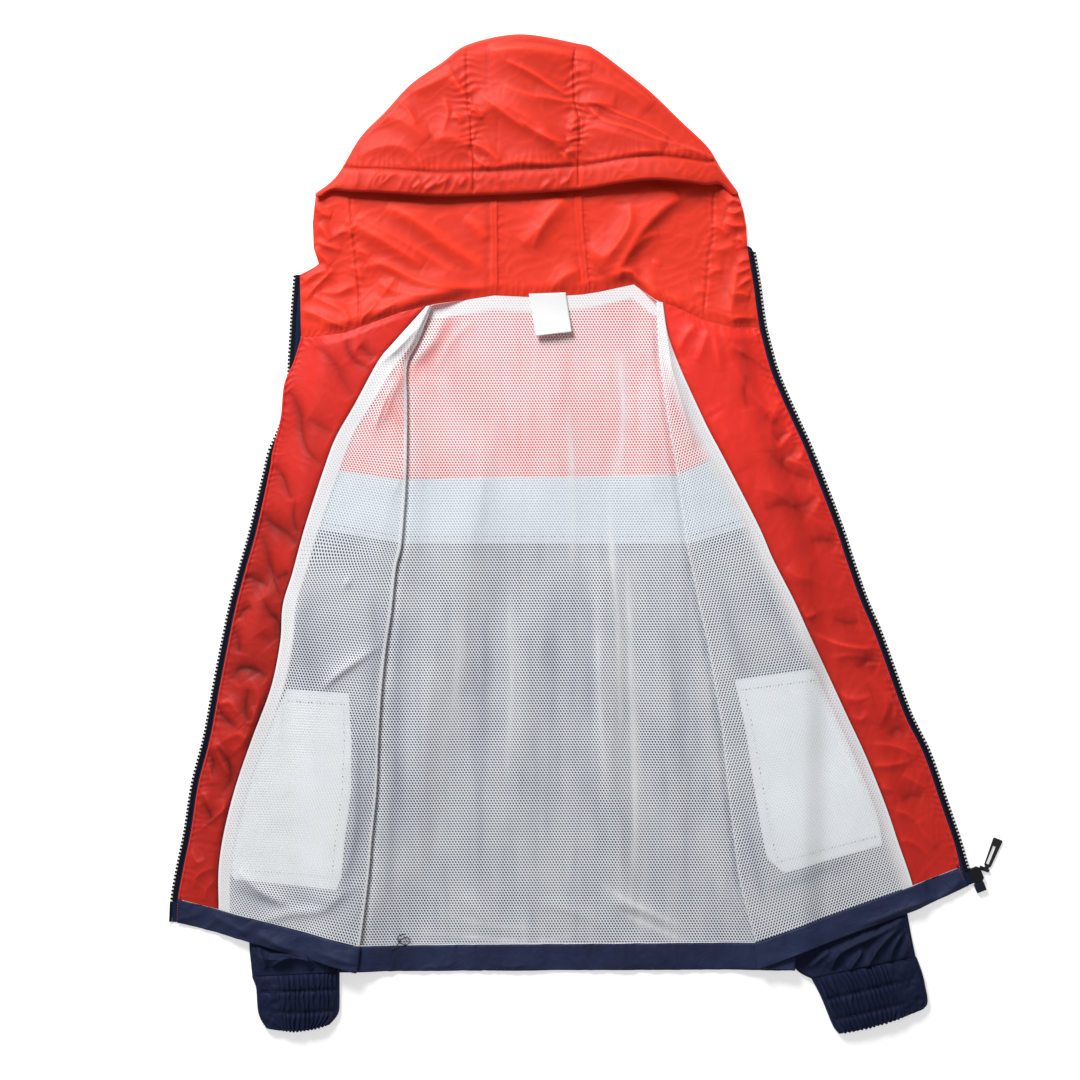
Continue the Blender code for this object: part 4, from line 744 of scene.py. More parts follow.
def lift_table(sleeve):
    """Outer x and inner x of a sleeve's footprint and its height, each by rising y."""
    middle = 0.5 * (sleeve[:, OUTER] + sleeve[:, INNER])[:, 1]
    height = rising(zip(sleeve[:, HEIGHT], middle))
    return rising([sleeve[0, INNER], *sleeve[:, OUTER]]), rising(sleeve[:, INNER]), height


LIFTS = ((lift_table(SLEEVE_LEFT), -1), (lift_table(SLEEVE_RIGHT), 1))


def lift(x, y):
    """How far the sleeves hold the body's layers off the surface at (x, y)."""
    total = np.zeros_like(x)
    for (outer, inner, height), sign in LIFTS:
        beyond_outer = sign * (x - np.interp(y, outer[:, 0], outer[:, 1])) - SLEEVE_MARGIN
        beyond_inner = sign * (np.interp(y, inner[:, 0], inner[:, 1]) - x) - SLEEVE_MARGIN
        share = (1 - smooth(beyond_outer / FALL_OUTWARD)) * (1 - smooth(beyond_inner / FALL_INWARD))
        share = share * (1 - smooth((y - outer[-1, 0]) / FALL_ABOVE))
        total = np.maximum(total, share * (np.interp(y, height[:, 0], height[:, 1]) + SLEEVE_CLEARANCE))
    return total


def x_on(front, line, y):
    """x at y on one of a front's lines."""
    points = front[::-1, line]
    return np.interp(y, points[:, 1], points[:, 0])


def over_pile(x, y):
    """1 where a turned-out front lies on the back's pile of layers, falling to 0 outside it."""
    beyond = np.maximum(x_on(FRONT_LEFT, AT_SIDE, y) - x, x - x_on(FRONT_RIGHT, AT_SIDE, y))
    return 1 - smooth((beyond - PILE_MARGIN) / PILE_FALL)


def front_z(x, y):
    return Z_BACK + lift(x, y) + PILE * over_pile(x, y)


def new_mesh(name, points, faces, mat):
    """A mesh of points in millimetres, and its object on the jacket."""
    mesh = bpy.data.meshes.new(name)
    mesh.from_pydata((points * MM).tolist(), [], faces)
    mesh.materials.append(mat)
    obj = bpy.data.objects.new(name, mesh)
    bpy.context.scene.collection.objects.link(obj)
    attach(obj, "jacket")
    return obj


def grid_object(name, points, mat, uv=None, ring=False, marks=None, thickness=0.0):
    """A surface through rows of points in millimetres. uv is in metres. marks are values by point."""
    rows, columns = points.shape[:2]
    index = np.arange(rows * columns).reshape(rows, columns)
    if ring:
        index = np.concatenate([index, index[:, :1]], 1)
    faces = np.stack([index[:-1, :-1], index[:-1, 1:], index[1:, 1:], index[1:, :-1]], -1).reshape(-1, 4)
    obj = new_mesh(name, points.reshape(-1, 3), faces.tolist(), mat)
    mesh = obj.data
    if uv is None:
        across, middle = way_along(points, 1), columns // 2
        down = np.broadcast_to(way_along(points)[:, middle:middle + 1], across.shape)
        uv = np.stack([across - across[:, middle:middle + 1], down], -1) * MM
    loops = np.empty(len(mesh.loops), np.int32)
    mesh.loops.foreach_get("vertex_index", loops)
    layer = mesh.uv_layers.new(name="cloth")
    layer.data.foreach_set("uv", uv.reshape(-1, 2)[loops].astype(np.float32).ravel())
    for key, values in (marks or {}).items():
        mark = mesh.attributes.new(key, "FLOAT", "POINT")
        mark.data.foreach_set("value", np.broadcast_to(values, (rows, columns)).astype(np.float32).ravel())
    mesh.shade_smooth()
    if thickness:
        wall = obj.modifiers.new("wall", "SOLIDIFY")
        wall.thickness = thickness * MM
        wall.offset = 0
    return obj


def dress(node, points, mat, held, below, **more):
    """A cloth surface in place of a node of the frame. held and below say how it lies, and on what."""
    obj = grid_object(f"{node}_cloth", points, mat, **more)
    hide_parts(node)
    sheets.append((obj, points, held, below))
    return obj


# ---------------------------------------------------------------- materials

SHEEN_ROUGHNESS = 0.4
# Threads in the weave and the knit, and creases in the cloth, as scales of their textures.
WEAVE_SCALE, KNIT_SCALE, CREASE_SCALE = 420.0, 900.0, 60.0
MESH_PITCH, MESH_HOLE = 0.0032, 0.00208
# The mesh's holes are longer one way by this, and their edges are soft over this share of the pitch.
HOLE_STRETCH, HOLE_EDGE = 1.15, 0.11
# How closed the mesh is: on its threads, on a turned hem and in the holes of its second layer.
THREADS_CLOSED, HEM_CLOSED, SECOND_CLOSED = 0.94, 0.97, 0.22
THREAD_SCALE, THREAD_GRAIN = 4000.0, 0.5


def linear(red, green, blue):
    """A display colour, 0 to 255, as the shader's numbers."""
    shares = (red / 255, green / 255, blue / 255)
    return tuple(c / 12.92 if c <= 0.04 else ((c + 0.055) / 1.055) ** 2.4 for c in shares)


def new_material(name):
    mat = bpy.data.materials.new(name)
    mat.use_nodes = True
    return mat, mat.node_tree, mat.node_tree.nodes["Principled BSDF"]


def fill(tree, node, inputs):
    """Sets a node's inputs. One that is given another node's output is linked to it."""
    for key, value in inputs.items():
        if isinstance(value, bpy.types.NodeSocket):
            tree.links.new(value, node.inputs[key])
        else:
            node.inputs[key].default_value = value


def add_node(tree, kind, inputs, **settings):
    node = tree.nodes.new(kind)
    for key, value in settings.items():
        setattr(node, key, value)
    fill(tree, node, inputs)
    return node.outputs


def calculate(tree, operation, *values):
    return add_node(tree, "ShaderNodeMath", dict(enumerate(values)), operation=operation)[0]


def attribute(tree, name):
    return add_node(tree, "ShaderNodeAttribute", {}, attribute_name=name)["Fac"]


def cloudy(tree, vector, scale, detail, distortion=0.0):
    inputs = {"Vector": vector, "Scale": scale, "Detail": detail, "Distortion": distortion}
    return add_node(tree, "ShaderNodeTexNoise", inputs)["Fac"]


def ranged(tree, value, low, high, start=0.0, end=1.0):
    """A value from start to end, as one from low to high."""
    inputs = {"Value": value, "From Min": start, "From Max": end, "To Min": low, "To Max": high}
    return add_node(tree, "ShaderNodeMapRange", inputs)["Result"]


def tinted(tree, colour, shade):
    """A colour times a shade."""
    inputs = {"Factor": 1.0, "A": (*colour, 1), "B": shade}
    return add_node(tree, "ShaderNodeMix", inputs, data_type="RGBA", blend_type="MULTIPLY")["Result"]


def bump(tree, height, strength, distance, **more):
    inputs = {"Height": height, "Strength": strength, "Distance": distance, **more}
    return add_node(tree, "ShaderNodeBump", inputs)["Normal"]


def cloth_material(name, colour, roughness, sheen, crinkle, weave=0.2, variation=0.05, specular=0.35):
    """Plain woven cloth. crinkle is the strength of its small creases, variation that of its colour.

    The cloth's own attribute "shade" paints light and shade into its colour, lighter or darker by that share:
    painted shade along seams, in creases and away from the light, and painted highlights on crests.
    """
    mat, tree, shader = new_material(name)
    place = add_node(tree, "ShaderNodeTexCoord", {})
    shade = ranged(tree, cloudy(tree, place["Object"], 14.0, 4.0), 1 - variation, 1 + variation)
    woven = {"Vector": place["UV"], "Scale": WEAVE_SCALE}
    warp, weft = (add_node(tree, "ShaderNodeTexWave", woven, bands_direction=way)["Fac"] for way in "XY")
    creases = cloudy(tree, place["Object"], CREASE_SCALE, 4.0, distortion=0.8)
    crinkled = bump(tree, creases, crinkle, 0.0022)
    fill(tree, shader, {
        "Base Color": tinted(tree, colour, calculate(tree, "ADD", shade, attribute(tree, "shade"))),
        "Roughness": roughness,
        "Sheen Weight": sheen,
        "Sheen Roughness": SHEEN_ROUGHNESS,
        "Specular IOR Level": specular,
        "Normal": bump(tree, calculate(tree, "MULTIPLY", warp, weft), weave, 0.0001, Normal=crinkled),
    })
    return mat


def mesh_material(name, colour, pitch, hole):
    """Knitted mesh: round holes in staggered rows, pitch apart and hole across, in metres.

    The mesh's own attribute "doubled" is 0 on one layer, 1 on two and 2 on a turned hem. Between 0 and 1 it
    also paints highlights, and below 0 it paints shade: there the mesh lies close on the cloth behind it,
    which shows through more.
    """
    mat, tree, shader = new_material(name)
    calc = partial(calculate, tree)
    place = add_node(tree, "ShaderNodeTexCoord", {})
    xyz = add_node(tree, "ShaderNodeSeparateXYZ", {"Vector": place["UV"]})
    row_share = math.sqrt(3) / 2
    row_height = pitch * row_share
    patches = cloudy(tree, place["Object"], 16.0, 2.0)
    first_closed = ranged(tree, patches, 0.03, 0.11, 0.35, 0.65)
    widened = ranged(tree, patches, 0.01, -0.01, 0.35, 0.65)
    reach = 0.5 * hole / pitch

    def holes(shift_x, shift_y, closed):
        """How closed a layer is at each place: closed in its holes, and nearly 1 on its threads."""
        v = calc("DIVIDE", calc("ADD", xyz["Y"], shift_y), row_height)
        odd = calc("MULTIPLY", calc("FLOORED_MODULO", calc("FLOOR", v), 2.0), 0.5)
        u = calc("DIVIDE", calc("ADD", xyz["X"], shift_x), pitch)
        across = calc("SUBTRACT", calc("FRACT", calc("ADD", u, odd)), 0.5)
        down = calc("MULTIPLY", calc("SUBTRACT", calc("FRACT", v), 0.5), row_share)
        along = calc("MULTIPLY", calc("SUBTRACT", across, down), math.sqrt(0.5) / HOLE_STRETCH)
        beside = calc("MULTIPLY", calc("ADD", across, down), math.sqrt(0.5) * HOLE_STRETCH)
        squares = calc("ADD", calc("MULTIPLY", along, along), calc("MULTIPLY", beside, beside))
        radius = calc("SUBTRACT", calc("SQRT", squares), widened)
        return ranged(tree, radius, closed, THREADS_CLOSED, reach - HOLE_EDGE, reach + HOLE_EDGE)

    doubled = attribute(tree, "doubled")
    twice = add_node(tree, "ShaderNodeClamp", {"Value": doubled})["Result"]
    # Painted shade: below 0 the threads of the first layer are made more see-through.
    close = calc("ADD", calc("MULTIPLY", calc("MINIMUM", doubled, 0.0), 0.35), 1.0)
    first = calc("MULTIPLY", holes(0.0, 0.0, first_closed), close)
    second = calc("MULTIPLY", holes(0.37 * pitch, 0.55 * row_height, SECOND_CLOSED), twice)
    hem = calc("MULTIPLY", calc("SUBTRACT", doubled, 1.0), HEM_CLOSED)
    uneven = ranged(tree, cloudy(tree, place["Object"], 9.0, 3.0), 0.95, 1.03)
    fill(tree, shader, {
        "Base Color": tinted(tree, colour, uneven),
        "Alpha": calc("MAXIMUM", calc("MAXIMUM", first, second), hem),
        "Roughness": 0.6,
        "Sheen Weight": 0.15,
        "Sheen Roughness": SHEEN_ROUGHNESS,
        "Specular IOR Level": 0.3,
        "Normal": bump(tree, cloudy(tree, place["UV"], KNIT_SCALE, 2.0), 0.25, 0.0003),
    })
    return mat


def solid_material(name, colour, roughness, metallic=0.0, grain=0.15, scale=900.0, specular=0.5):
    """Moulded plastic, rubber, lacquered metal or thread, with a fine grain."""
    mat, tree, shader = new_material(name)
    place = add_node(tree, "ShaderNodeTexCoord", {})["Object"]
    wear = cloudy(tree, place, 160.0, 4.0)
    fill(tree, shader, {
        "Base Color": tinted(tree, colour, ranged(tree, wear, 0.85, 1.15)),
        "Metallic": metallic,
        "Roughness": ranged(tree, wear, roughness - 0.08, roughness + 0.08),
        "Specular IOR Level": specular,
        "Normal": bump(tree, cloudy(tree, place, scale, 3.0), grain, 0.0002),
    })
    return mat


def thread_material(name, colour):
    return solid_material(name, colour, 0.7, grain=THREAD_GRAIN, scale=THREAD_SCALE)


red_cloth = cloth_material("red_taffeta", linear(229, 53, 32), 0.54, 0.10, 0.14, specular=0.26)
facing_cloth = cloth_material("red_taffeta_facing", linear(212, 42, 31), 0.52, 0.10, 0.14, specular=0.28)
# A lighter copy of the facing's red, for a painted highlight along the facings' turned edge at the zip.
edge_highlight_cloth = cloth_material("red_taffeta_edge_highlight", linear(244, 54, 36), 0.5, 0.1, 0.05)
navy_cloth = cloth_material("navy_taffeta", linear(28, 34, 62), 0.6, 0.03, 0.3, variation=0.25, specular=0.10)
inner_red_cloth = cloth_material("red_taffeta_inside", linear(255, 76, 62), 0.5, 0.1, 0.1)
hem_cloth = cloth_material(
    "navy_taffeta_hem", linear(39, 47, 77), 0.55, 0.04, 0.7, variation=0.5, specular=0.16
)
inner_navy_cloth = cloth_material("navy_taffeta_inside", linear(46, 64, 112), 0.5, 0.08, 0.12, specular=0.3)
pale_cloth = cloth_material("pale_taffeta", linear(206, 222, 234), 0.5, 0.10, 0.10)
white_cloth = cloth_material("white_pocketing", linear(242, 246, 249), 0.7, 0.1, 0.15)
label_cloth = cloth_material(
    "label_satin", linear(240, 240, 241), 0.5, 0.1, 0.03, weave=0.4, variation=0.02
)
mesh_cloth = mesh_material("white_mesh", linear(249, 252, 255), MESH_PITCH, MESH_HOLE)
tape_cloth = cloth_material("navy_tape", linear(16, 40, 70), 0.85, 0.05, 0.05, weave=0.8, specular=0.15)
tooth_plastic = solid_material("tooth_plastic", linear(12, 12, 24), 0.6, specular=0.15)
black_metal = solid_material("black_lacquer", linear(30, 30, 34), 0.45, metallic=0.2, specular=0.25)
black_rubber = solid_material("black_rubber", linear(28, 29, 33), 0.5, grain=0.3)
box_plastic = solid_material("navy_plastic", linear(24, 28, 48), 0.5, specular=0.25)
red_thread = thread_material("red_thread", linear(190, 30, 30))
navy_thread = thread_material("navy_thread", linear(28, 34, 66))
blue_thread = thread_material("grey_blue_thread", linear(78, 92, 120))

# The outer cloth shows its inside: yoke, band and lower part between these stations.
CUTS = (
    ("yoke", NECK, YOKE_END, inner_red_cloth),
    ("band", YOKE_END, BAND_END, pale_cloth),
    ("lower", BAND_END, HEM_TOP, inner_navy_cloth),
)

# ---------------------------------------------------------------- fronts


def columns_of(front, places):
    """Points on a front's side seam, fold, facing's seam and zip edge, at the given stations."""
    table = through(front, places)
    return table[:, AT_SIDE], table[:, AT_FOLD], table[:, AT_SEAM], table[:, AT_ZIP]


def turn_rows(centre, out, radius, z_from, z_to, steps):
    """Rows of points round a fold, from one ply to the other."""
    angle = np.linspace(-math.pi / 2, math.pi / 2, steps + 1)
    rows = len(centre)
    radius = np.broadcast_to(radius, rows)[:, None, None]
    z_from, z_to = np.broadcast_to(z_from, rows)[:, None], np.broadcast_to(z_to, rows)[:, None]
    xy = centre[:, None, :] + out[:, None, :] * radius * np.cos(angle)[None, :, None]
    z = 0.5 * (z_from + z_to) + 0.5 * (z_to - z_from) * np.sin(angle)[None, :]
    return np.concatenate([xy, z[:, :, None]], 2)


def raised(xy, z):
    """Points of the surface's plane at height z."""
    return np.concatenate([xy, np.broadcast_to(z, xy.shape[:2])[:, :, None]], 2)


def turns(side, fold):
    """Centres of the turns at the side seam and at the fold, and the way from one to the other."""
    inward = unit(fold - side)
    return side + SIDE_TURN * inward, fold - FOLD_TURN * inward, inward


def neck_points(front):
    """Points along a front's neck seam, from the facing's seam to the zip edge."""
    if front is FRONT_LEFT:
        return [front[0, AT_SEAM], *HOOD[4::-1, ON_NECK]]
    *near, before, last = HOOD[12:, ON_NECK]
    return [front[0, AT_SEAM], *near, before, 0.5 * (before + last), last]


def facing_xy(front, places, shares):
    """Points across the facing from the lining to the zip. Near the neck they follow its seam."""
    _, _, seam, zip_edge = columns_of(front, places)
    straight = between(seam, zip_edge, shares)
    hold = np.interp(places, (0, 1, 2, 3), (1, 0.6, 0.25, 0))[:, None, None]
    top = between(front[:1, AT_SEAM], front[:1, AT_ZIP], shares)
    return straight + hold * (by_index(neck_points(front), shares)[None] - top)


def lining_xy(front, places, shares):
    side, fold, seam, _ = columns_of(front, places)
    _, fold_centre, _ = turns(side, fold)
    return between(fold_centre, seam, shares)


def lining_height(places):
    ends = LINING_ABOVE_FRONT - 0.2
    return np.interp(places, (0, 1, 14.5, 15), (ends, LINING_ABOVE_FRONT, LINING_ABOVE_FRONT, ends))


def folded_rows(front, places, low, inner, inset=0.0):
    """Side seam and inner ply of a front, on the body's ground."""
    side, fold, _, _ = columns_of(front, places)
    side_centre, fold_centre, inward = turns(side, fold)
    side_centre = side_centre + inset * inward
    rows = np.concatenate([
        turn_rows(side_centre, -inward, 0.5 * (inner - low), low, inner, 6),
        raised(between(side_centre, fold_centre, np.linspace(0, 1, INNER_STEPS + 1)[1:-1]), inner),
    ], 1)
    rows[:, :, 2] += lift(rows[:, :, 0], rows[:, :, 1])
    return rows, fold_centre, inward


def fold_rows(fold_centre, inward, radius, inner, outer, z_top):
    """The fold between the plies. It ends at the upper ply's own height."""
    narrow = np.minimum(radius, FOLD_NARROW)
    out_centre = fold_centre + inward * np.broadcast_to(radius - narrow, len(inward))[:, None]
    rows = turn_rows(out_centre, inward, narrow, inner, outer, 8)
    rows[:, :, 2] += lift(rows[:, :, 0], rows[:, :, 1])
    missing = z_top - rows[:, -1:, 2]
    rows[:, :, 2] += missing * np.linspace(0, 1, rows.shape[1])[None, :]
    return rows


def front_shell(front, places, above=0.0, low=Z_BACK, inner=Z_INNER_FRONT, radius=FOLD_RADIUS):
    head, fold_centre, inward = folded_rows(front, places, low, inner)
    xy = np.concatenate([
        lining_xy(front, places, np.linspace(0, 1, 36)),
        facing_xy(front, places, np.linspace(0, 1, 24))[:, 1:],
    ], 1)
    z = front_z(xy[:, :, 0], xy[:, :, 1]) + above
    z = z + 0.35 * noise(xy[:, :, 0], xy[:, :, 1], 30, 5)
    fold = fold_rows(fold_centre, inward, radius, inner, Z_FRONT + above, z[:, :1])
    return np.concatenate([head, fold, raised(xy, z)[:, 1:]], 1)


def spaced_places(first, last, step, front):
    """Fractional stations from first to last, about step millimetres apart down the front."""
    places = np.linspace(first + STATION_TRIM, last - STATION_TRIM, 40 * (last - first) + 1)
    _, fold, seam, _ = columns_of(front, places)
    way = way_along(0.5 * (fold + seam))
    count = max(int(way[-1] / step), 4)
    return np.interp(np.linspace(0, way[-1], count + 1), way, places)


def make_front(side, front):
    for part, first, last, mat in CUTS:
        points = front_shell(front, spaced_places(first, last, 5, front))
        dress(f"front_{side}_{part}", points, mat, "folded", f"sleeve_{side}_cloth")
    make_front_lining(side, front)
    make_allowance(side, front)
    make_facing(side, front)
    make_pocket(side, front)
    make_front_hem(side, front)


def make_front_lining(side, front):
    places = spaced_places(NECK, HEM_TOP, 3.2, front)
    above = lining_height(places)
    head, fold_centre, inward = folded_rows(front, places, Z_BACK_LINING, Z_INNER_LINING, inset=0.5)
    shares = np.linspace(0, 1, 80)
    xy = lining_xy(front, places, shares)
    x, y = xy[:, :, 0], xy[:, :, 1]
    edge = np.sin(math.pi * np.clip(shares, 0, 1)) ** 0.5
    ripple = 0.5 * noise(x, y, 55, 21) + 0.3 * noise(x, y, 22, 22) + folded(x, y, LINING_FOLDS)
    soft_fold = smooth(shares * 5)[None, :]
    above = above[:, None] - 1.2 * (1 - soft_fold)
    z = front_z(x, y) + above + np.maximum(ripple * edge[None, :] + 0.4 * soft_fold, -0.6)
    top = Z_FRONT + above[:, 0]
    radius = np.minimum(0.5 * (top - Z_INNER_LINING), FOLD_TURN - 0.5)
    fold = fold_rows(fold_centre, inward, radius, Z_INNER_LINING, top, z[:, :1])
    points = np.concatenate([head, fold, raised(xy, z)[:, 1:]], 1)
    _, _, seam, _ = columns_of(front, places)
    to_seam = np.linalg.norm(points[:, :, :2] - seam[:, None, :], axis=2)
    to_fold = np.linalg.norm(points[:, :, :2] - xy[:, :1], axis=2)
    width = np.interp(places, *STRIP_WIDTH)[:, None]
    fade = STRIP_FADE[side]
    doubled = np.clip((width + fade / 2 - to_seam) / fade, 0, 1) + np.clip((3.4 - to_seam) / 0.8, 0, 1)
    doubled = doubled + FOLD_HEM[side] * np.clip((1.8 - to_fold) / 0.8, 0, 1)
    doubled[:, :head.shape[1] + 7] = 0
    # Painted shade where the mesh lies close on the cloth in its wrinkles: the mesh is made more see-through
    # there.
    close = np.minimum(folded(points[:, :, 0], points[:, :, 1], CLOSE_MESH_PAINTED_SHADE, gain=1), 1)
    marks = {"doubled": np.minimum(np.where(doubled > 0, doubled, -close), 2)}
    dress(f"lining_front_{side}", points, mesh_cloth, "folded", f"front_{side}_lower_cloth", marks=marks)


def make_allowance(side, front):
    """The facing's seam allowance, turned in under the mesh."""
    places = spaced_places(NECK, HEM_TOP, 6, front)
    _, fold, seam, _ = columns_of(front, places)
    room = np.linalg.norm(fold - seam, axis=1) - FOLD_TURN
    width = np.minimum(np.interp(places, *ALLOWANCE_WIDTH), room)[:, None]
    xy = between(seam + unit(fold - seam) * width, seam, np.linspace(0, 1, 8))
    above = np.interp(places, (0, 1), (1.4, 1.6))[:, None]
    points = raised(xy, front_z(xy[:, :, 0], xy[:, :, 1]) + above)
    obj = grid_object(f"facing_{side}_allowance", points, facing_cloth)
    sheets.append((obj, points, "laid", f"front_{side}_lower_cloth"))


def make_facing(side, front):
    """The facing: swells between its two seams, with gathers from both, and over the zip on the left."""
    places = spaced_places(NECK, HEM_TOP, 1.5, front)
    shares = np.concatenate([np.linspace(0, 0.9, 60), np.linspace(0.9, 1, 13)[1:]])
    xy = facing_xy(front, places, shares)
    x, y = xy[:, :, 0], xy[:, :, 1]
    above = lining_height(places)[:, None] * (1 - shares) + FACING_ABOVE_FRONT * shares
    _, _, _, zip_edge = columns_of(front, places)
    width = np.linalg.norm(xy[:, -1] - xy[:, 0], axis=1)[:, None]
    from_zip, from_seam = (1 - shares) * width, shares * width
    down = way_along(zip_edge)[:, None] + 0 * from_zip
    from_neck = np.linalg.norm(xy - xy[:1], axis=2)
    inner = smooth(from_zip / 6) * smooth(from_seam / 7) * smooth(from_neck / NECK_SOFT)
    bulge = 1.8 * np.sin(math.pi * shares)[None, :] ** 0.7
    troughs = folded(x, y, FACING_TROUGHS, gain=1)
    folds = FACING_FOLD_SHARE[side] * folded(x, y, FACING_FOLDS) - TROUGH_DEPTH * troughs
    small = creased(x, y, FACING_CREASES[side])
    gathers = puckers(from_zip, down, ZIP_GATHERS) + puckers(from_seam, down, SEAM_GATHERS)
    gathers = gathers + puckers(from_neck, x, NECK_GATHERS) * smooth(from_neck / 3) * smooth(from_seam / 7)
    over_zip = OVER_ZIP[side] * ridge(y - OVER_ZIP_AT, OVER_ZIP_REACH) * smooth((34 - from_zip) / 26)
    z = front_z(x, y) + above + inner * (folds + small + bulge) + gathers * smooth(from_zip / 1.5) + over_zip
    z = z + 0.9 * ridge(from_zip - 1.6, 1.2) - 0.7 * ridge(from_seam - 0.6, 1.2)
    # Painted shade along the seam with the lining, painted light from the hem up towards the neck, painted
    # shade in the troughs and painted highlights on the crests.
    low, rise = FACING_PAINTED_SHADE[side]
    shade = -0.45 * ridge(from_seam, 1.8) - 0.12 * ridge(from_seam, 7) + low + rise * smooth((y + 80) / 230)
    shade = shade - TROUGH_SHADE * np.minimum(troughs, TROUGH_MOST) + crest_shade(inner * (folds + small))
    points = raised(xy, z)
    on = f"front_{side}_lower_cloth"
    obj = dress(f"facing_{side}", points, facing_cloth, "laid", on, marks={"shade": shade})
    # The turned edge along the zip, in the lighter red: a painted highlight.
    rim, end = np.linspace(0, 1, 5), points[:, -1]
    line = between(end + unit(points[:, -2] - end) * 1.5, end, rim)
    line[:, :, 2] = end[:, 2:] + 0.25 + 0.7 * np.sin(math.pi * (0.15 + 0.7 * rim))[None, :]
    trims[obj.name] = [grid_object(f"facing_{side}_turned_edge", line, edge_highlight_cloth)]


def pocket_lines(side, front, places, shares, above):
    """Rows of points across a pocket bag."""
    station, near, far = POCKETS[side].T
    side_edge, fold, seam, _ = columns_of(front, places)
    _, fold_centre, _ = turns(side_edge, fold)
    across = seam - fold_centre
    ends = [fold_centre + across * np.interp(places, station, share)[:, None] for share in (near, far)]
    xy = between(*ends, shares)
    x, y = xy[:, :, 0], xy[:, :, 1]
    return raised(xy, front_z(x, y) + above + 0.25 * noise(x, y, 18, 51))


def make_pocket(side, front):
    top, bottom = POCKETS[side][0, 0], POCKETS[side][-1, 0]
    lines = partial(pocket_lines, side, front)
    points = lines(np.arange(top, bottom + 0.001, 0.1), np.linspace(0, 1, 40), POCKET_ABOVE_FRONT)
    # Painted light on the pocket bag.
    marks = {"shade": POCKET_PAINTED_LIGHT[side]}
    dress(f"pocket_{side}", points, white_cloth, "laid", f"front_{side}_lower_cloth", marks=marks)
    top, bottom, above = top + POCKET_STITCH_IN, bottom - POCKET_STITCH_IN, POCKET_ABOVE_FRONT + 0.1
    rows = lines(np.array([top, bottom]), np.linspace(0.02, 0.98, 40), above)
    down = lines(np.linspace(top, bottom, 60), np.array([POCKET_SIDE_STITCH]), above)
    for name, row in zip(("top", "bottom", "side"), (*rows, down[:, 0])):
        stitches(f"pocket_{side}_{name}_stitches", row, blue_thread, length=2.6, pitch=4.4, width=1.0)


def hem_relief(across, down, seed):
    """The hem band's swell between its edges, with small gathers from both."""
    gathers = puckers(down, across, Gathers(7, 11, 1.3, seed))
    gathers = gathers + puckers(HEM_WIDTH - down, across, Gathers(7, 14, 1.0, seed + 1))
    waves = 1.5 * (0.5 + noise(across, 0.6 * down, 24, seed + 2))
    creases = creased(across, down, [Creases(1.2, 22, 70, 1.8, seed + 4)])
    return 0.9 * np.sin(math.pi * down / HEM_WIDTH) ** 0.6 + gathers + waves + creases


HEM_PLACES = np.linspace(HEM_TOP + HEM_TRIM, HEM_END - HEM_TRIM, 20)
HEM_DOWN = (np.linspace(0, 1, len(HEM_PLACES)) * HEM_WIDTH)[:, None]


def make_front_hem(side, front):
    points = front_shell(front, HEM_PLACES, **HEM_PLIES)
    across = way_along(points, 1)
    upper = np.arange(points.shape[1]) > HEM_UPPER
    folds = folded(points[:, :, 0], points[:, :, 1], HEM_FOLDS)
    points[:, :, 2] += (hem_relief(across, HEM_DOWN + 0 * across, 61) + folds) * upper
    shared[f"hem_{side}"] = points[:, HEM_UPPER:]
    dress(f"hem_front_{side}", points, hem_cloth, "folded", f"sleeve_{side}_cloth", thickness=HEM_WALL)


# ---------------------------------------------------------------- back


def back_edge(front, places, inset=0.0):
    side, fold, _, _ = columns_of(front, places)
    side_centre, _, inward = turns(side, fold)
    return side_centre + (2 * SEAM + inset) * inward


def back_top():
    """Points along the back's top edge: left shoulder, neck and right shoulder."""
    neck = HOOD[5:12, ON_NECK]
    middle = [
        neck[0], *polyline(neck[:2], (1 / 3, 2 / 3)), neck[1], 0.5 * (neck[1] + neck[2]),
        neck[2], 0.5 * (neck[2] + neck[3]), *neck[3:],
    ]
    left = polyline([back_edge(FRONT_LEFT, [0])[0], neck[0]], np.linspace(0, 1, 5))[:-1]
    right = polyline([neck[-1], back_edge(FRONT_RIGHT, [0])[0]], np.linspace(0, 1, 5))[1:]
    return np.concatenate([left, middle, right])


def back_xy(places, shares, inset=0.0):
    """Points across the back from side to side. Near the neck they follow its seam."""
    top = back_top()
    straight = between(back_edge(FRONT_LEFT, places, inset), back_edge(FRONT_RIGHT, places, inset), shares)
    hold = np.interp(places, (0, 1, 2, 3, 4), (1, 0.68, 0.42, 0.18, 0))[:, None, None]
    chord = between(top[:1], top[-1:], shares)
    return straight + hold * (by_index(top, shares)[None] - chord)


def make_back():
    for part, first, last, mat in CUTS:
        xy = back_xy(spaced_places(first, last, 5, FRONT_LEFT), np.linspace(0, 1, 110))
        x, y = xy[:, :, 0], xy[:, :, 1]
        points = raised(xy, Z_BACK + lift(x, y) + np.maximum(0.25 * noise(x, y, 40, 71), -0.35))
        dress(f"back_{part}", points, mat, "laid", "sleeve_left_cloth", uv=xy * MM)
    make_back_lining()
    xy = back_xy(HEM_PLACES, np.linspace(0, 1, 240))
    x, y = xy[:, :, 0], xy[:, :, 1]
    points = raised(xy, 1.25 + lift(x, y) + hem_relief(x, HEM_DOWN + 0 * x, 74))
    dress("hem_back", points, hem_cloth, "laid", "sleeve_left_cloth", uv=xy * MM, thickness=HEM_BACK_WALL)


def beside_folds(x, y):
    """1 on the back just beside the folded edges of the turned-out fronts, falling to 0 away from them."""
    pasts = x - x_on(FRONT_LEFT, AT_FOLD, y), x_on(FRONT_RIGHT, AT_FOLD, y) - x
    return np.maximum(*(smooth((past - 0.5) / 3) * (1 - smooth((past - 5) / 25)) for past in pasts))


